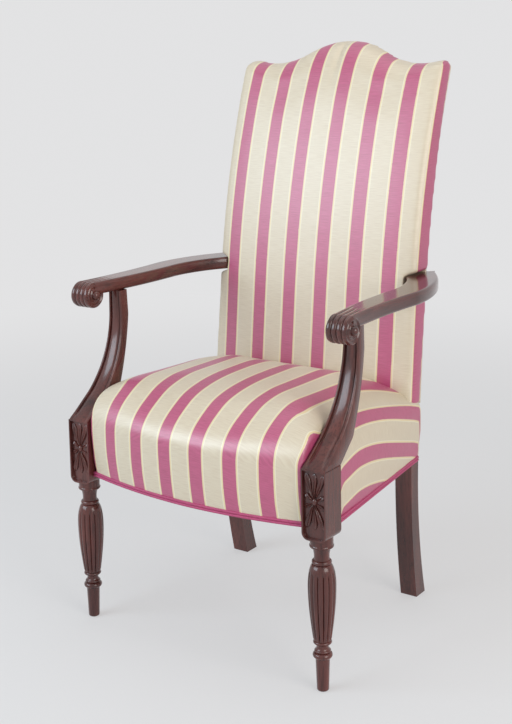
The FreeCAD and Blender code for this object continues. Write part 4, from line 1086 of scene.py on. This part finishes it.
def outside_back():
    outline = [drawn_in(point, OUTSIDE_INSET) for point in back_outline(outside_low.z)]
    shares = (0.0, 0.02, 0.1, 0.25, 0.4, 0.55, 0.7, 0.85, 0.985)
    rings = []
    for share in shares:
        points = [point.lerp(BACK_CENTRE, share) for point in outline]
        rings.append([Vector((p.x, back_front_y(p.y) + rear_depth(p.y) + OUTSIDE_STAND, p.y))
                      for p in points])
    bm = bmesh.new()
    sweep(bm, rings)
    open_side = [face for face in bm.faces if len(face.verts) > 4 and face.calc_area() > 0.1]
    bmesh.ops.delete(bm, geom=open_side, context="FACES_ONLY")
    piece = finished("outside_back", bm, striped, ["outside_back_cover"], sharp=0)
    set_cloth_place(piece, lambda place: Vector((place.x + BACK_STRIPE_SHIFT, place.z, 0.0)))
    wall = piece.modifiers.new("thickness", "SOLIDIFY")
    wall.thickness = OUTSIDE_THICKNESS
    wall.offset = 0.0


outside_back()

# Welts

WELT_RADIUS = 0.0028
WELT_SIDES = 12
WELT_LEVEL = seat_low.z + 0.0015
WELT_END_GAP = 0.014


def welt_tube(bm, path, height):
    """A cord covered in cloth along a path of plan points."""
    rings = []
    for index, (x, y) in enumerate(path):
        ahead = Vector(path[min(index + 1, len(path) - 1)])
        behind = Vector(path[max(index - 1, 0)])
        run = (ahead - behind).normalized()
        outward = Vector((run.y, -run.x, 0))
        ring = []
        for step in range(WELT_SIDES):
            angle = math.tau * step / WELT_SIDES
            ring.append(Vector((x, y, height)) + outward * WELT_RADIUS * math.cos(angle)
                        + Vector((0, 0, WELT_RADIUS * math.sin(angle))))
        rings.append(ring)
    sweep(bm, rings)


def double_welt(name, path, node_name):
    bm = bmesh.new()
    for lift in (-1, 1):
        welt_tube(bm, path, WELT_LEVEL + lift * WELT_RADIUS * 0.95)
    finished(name, bm, welt_cloth, [node_name], sharp=0)


def welts():
    """Double cords along the pad's lower edge, between the legs."""
    edge = seat_ring(SEAT_SWELL + SEAT_FRONT_TUCK * 0.9, SEAT_SWELL + SEAT_SIDE_TUCK * 0.9, WELT_LEVEL, 1.0)
    front = sorted(((p.x, p.y) for p in edge if abs(p.x) < block_inner and p.y < leg_y), key=lambda p: p[0])
    double_welt("front_welt", [(-block_inner, front[0][1])] + front + [(block_inner, front[-1][1])],
                "seat_welt_front")
    for side, sign in (("left", -1), ("right", 1)):
        low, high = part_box("seat_welt_" + side)
        start = (sign * (seat_half_width(low.y) - SEAT_SIDE_TUCK * 0.7), low.y + 0.001)
        end = (sign * (seat_half_width(high.y) - SEAT_SIDE_TUCK * 0.7), high.y - WELT_END_GAP)
        double_welt("side_welt_" + side, [start] + line(start, end, 40), "seat_welt_" + side)


welts()

# Dust cover under the seat

LINING_SAG = 0.006


def dust_lining():
    low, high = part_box("dust_cover")
    bm = bmesh.new()
    columns, rows = 36, 30
    bmesh.ops.create_grid(bm, x_segments=columns, y_segments=rows, size=0.5)
    rear_half = rear_leg_low.x
    for vert in bm.verts:
        across, deep = vert.co.x * 2, vert.co.y + 0.5
        half = mix(high.x, rear_half, deep)
        bow = (1 - deep) * SEAT_BOW * (across ** 2 - 1)
        sag = LINING_SAG * (1 - across ** 2) * (1 - (2 * deep - 1) ** 2)
        vert.co = Vector((across * half, mix(low.y + SEAT_BOW, high.y, deep) + bow, high.z - 0.0004 - sag))
    piece = finished("dust_lining", bm, lining, ["dust_cover"], sharp=0)


dust_lining()

# Studio: floor, light and camera

BACKDROP = 0.765
FLOOR_LIFT = 0.55
FLOOR_SIZE = 30.0
FLOOR_GAP = 0.0005
WORLD_LEVEL = 0.42


def seen_ray(tree):
    """1 for rays from the camera and for reflections, 0 for light."""
    paths = node(tree, "ShaderNodeLightPath")
    return math_node(tree, "MAXIMUM", paths.outputs["Is Camera Ray"], paths.outputs["Is Glossy Ray"])


def studio_floor():
    bm = bmesh.new()
    bmesh.ops.create_grid(bm, x_segments=8, y_segments=8, size=FLOOR_SIZE)
    floor = linked("studio_floor", mesh_from(bm, "studio_floor"))
    floor.location.z = -FLOOR_GAP
    material, tree, shader = new_material("studio_floor")
    place = node(tree, "ShaderNodeTexCoord").outputs["Object"]
    distance = node(tree, "ShaderNodeVectorMath", {"operation": "LENGTH"}, i0=place).outputs["Value"]
    far = node(tree, "ShaderNodeMapRange", {"interpolation_type": "SMOOTHSTEP"}, i0=distance, From_Min=0.9,
               From_Max=3.2).outputs[0]
    seen = seen_ray(tree)
    paper = node(tree, "ShaderNodeTexNoise", i0=place, Scale=300.0, Detail=2.0)
    colour = ramp(tree, paper.outputs[0], [(0.3, (0.76, 0.76, 0.765)), (0.7, (0.78, 0.78, 0.785))])
    set_inputs(tree, shader, Base_Color=colour, Roughness=0.8)
    glow = node(tree, "ShaderNodeEmission", Color=(BACKDROP, BACKDROP, BACKDROP * 1.01, 1.0), Strength=1.0)
    lift = math_node(tree, "MULTIPLY_ADD", far, 1 - FLOOR_LIFT, FLOOR_LIFT)
    blended = node(tree, "ShaderNodeMixShader", i0=math_node(tree, "MULTIPLY", lift, seen),
                   i1=shader.outputs[0], i2=glow.outputs[0])
    set_inputs(tree, tree.nodes["Material Output"], Surface=blended.outputs[0])
    floor.data.materials.append(material)


def studio_world():
    world = bpy.data.worlds.new("studio")
    scene.world = world
    world.use_nodes = True
    tree = world.node_tree
    level = math_node(tree, "MULTIPLY_ADD", seen_ray(tree), BACKDROP - WORLD_LEVEL, WORLD_LEVEL)
    set_inputs(tree, tree.nodes["Background"], Color=(1.0, 1.0, 1.01, 1.0), Strength=level)


def lamp(name, place, aim, size, power, colour):
    light = bpy.data.lights.new(name, "AREA")
    light.shape = "RECTANGLE"
    light.size, light.size_y = size
    light.energy = power
    light.color = colour
    item = linked(name, light)
    item.location = place
    item.rotation_euler = (Vector(aim) - Vector(place)).to_track_quat("-Z", "Y").to_euler()


CAMERA_PLACE = (1.425, -2.0733, 1.1612)
CAMERA_TURN = math.radians(35.251)
CAMERA_PITCH = math.radians(8.703)
CAMERA_ROLL = math.radians(-1.009)
CAMERA_LENS = 63.80
CAMERA_SHIFT = -132 / 724


def studio_camera():
    data = bpy.data.cameras.new("photo_camera")
    data.lens = CAMERA_LENS
    data.sensor_width = 36.0
    data.shift_y = CAMERA_SHIFT
    item = linked("photo_camera", data)
    turn = (Matrix.Rotation(CAMERA_TURN, 4, "Z") @ Matrix.Rotation(math.pi / 2 - CAMERA_PITCH, 4, "X")
            @ Matrix.Rotation(CAMERA_ROLL, 4, "Z"))
    item.matrix_world = Matrix.Translation(CAMERA_PLACE) @ turn
    scene.camera = item


studio_floor()
studio_world()
lamp("key_light", (-1.7, -2.75, 1.95), (0.0, 0.1, 0.8), (2.5, 1.8), 71, (0.77, 0.90, 1.0))
lamp("fill_light", (2.9, -0.9, 1.6), (0.0, 0.0, 0.6), (1.8, 1.8), 44, (1.0, 0.96, 0.91))
lamp("top_light", (0.2, 0.2, 3.2), (0.0, 0.0, 0.4), (2.4, 2.4), 14, (1.0, 0.98, 0.95))
studio_camera()
scene.view_settings.view_transform = "Standard"
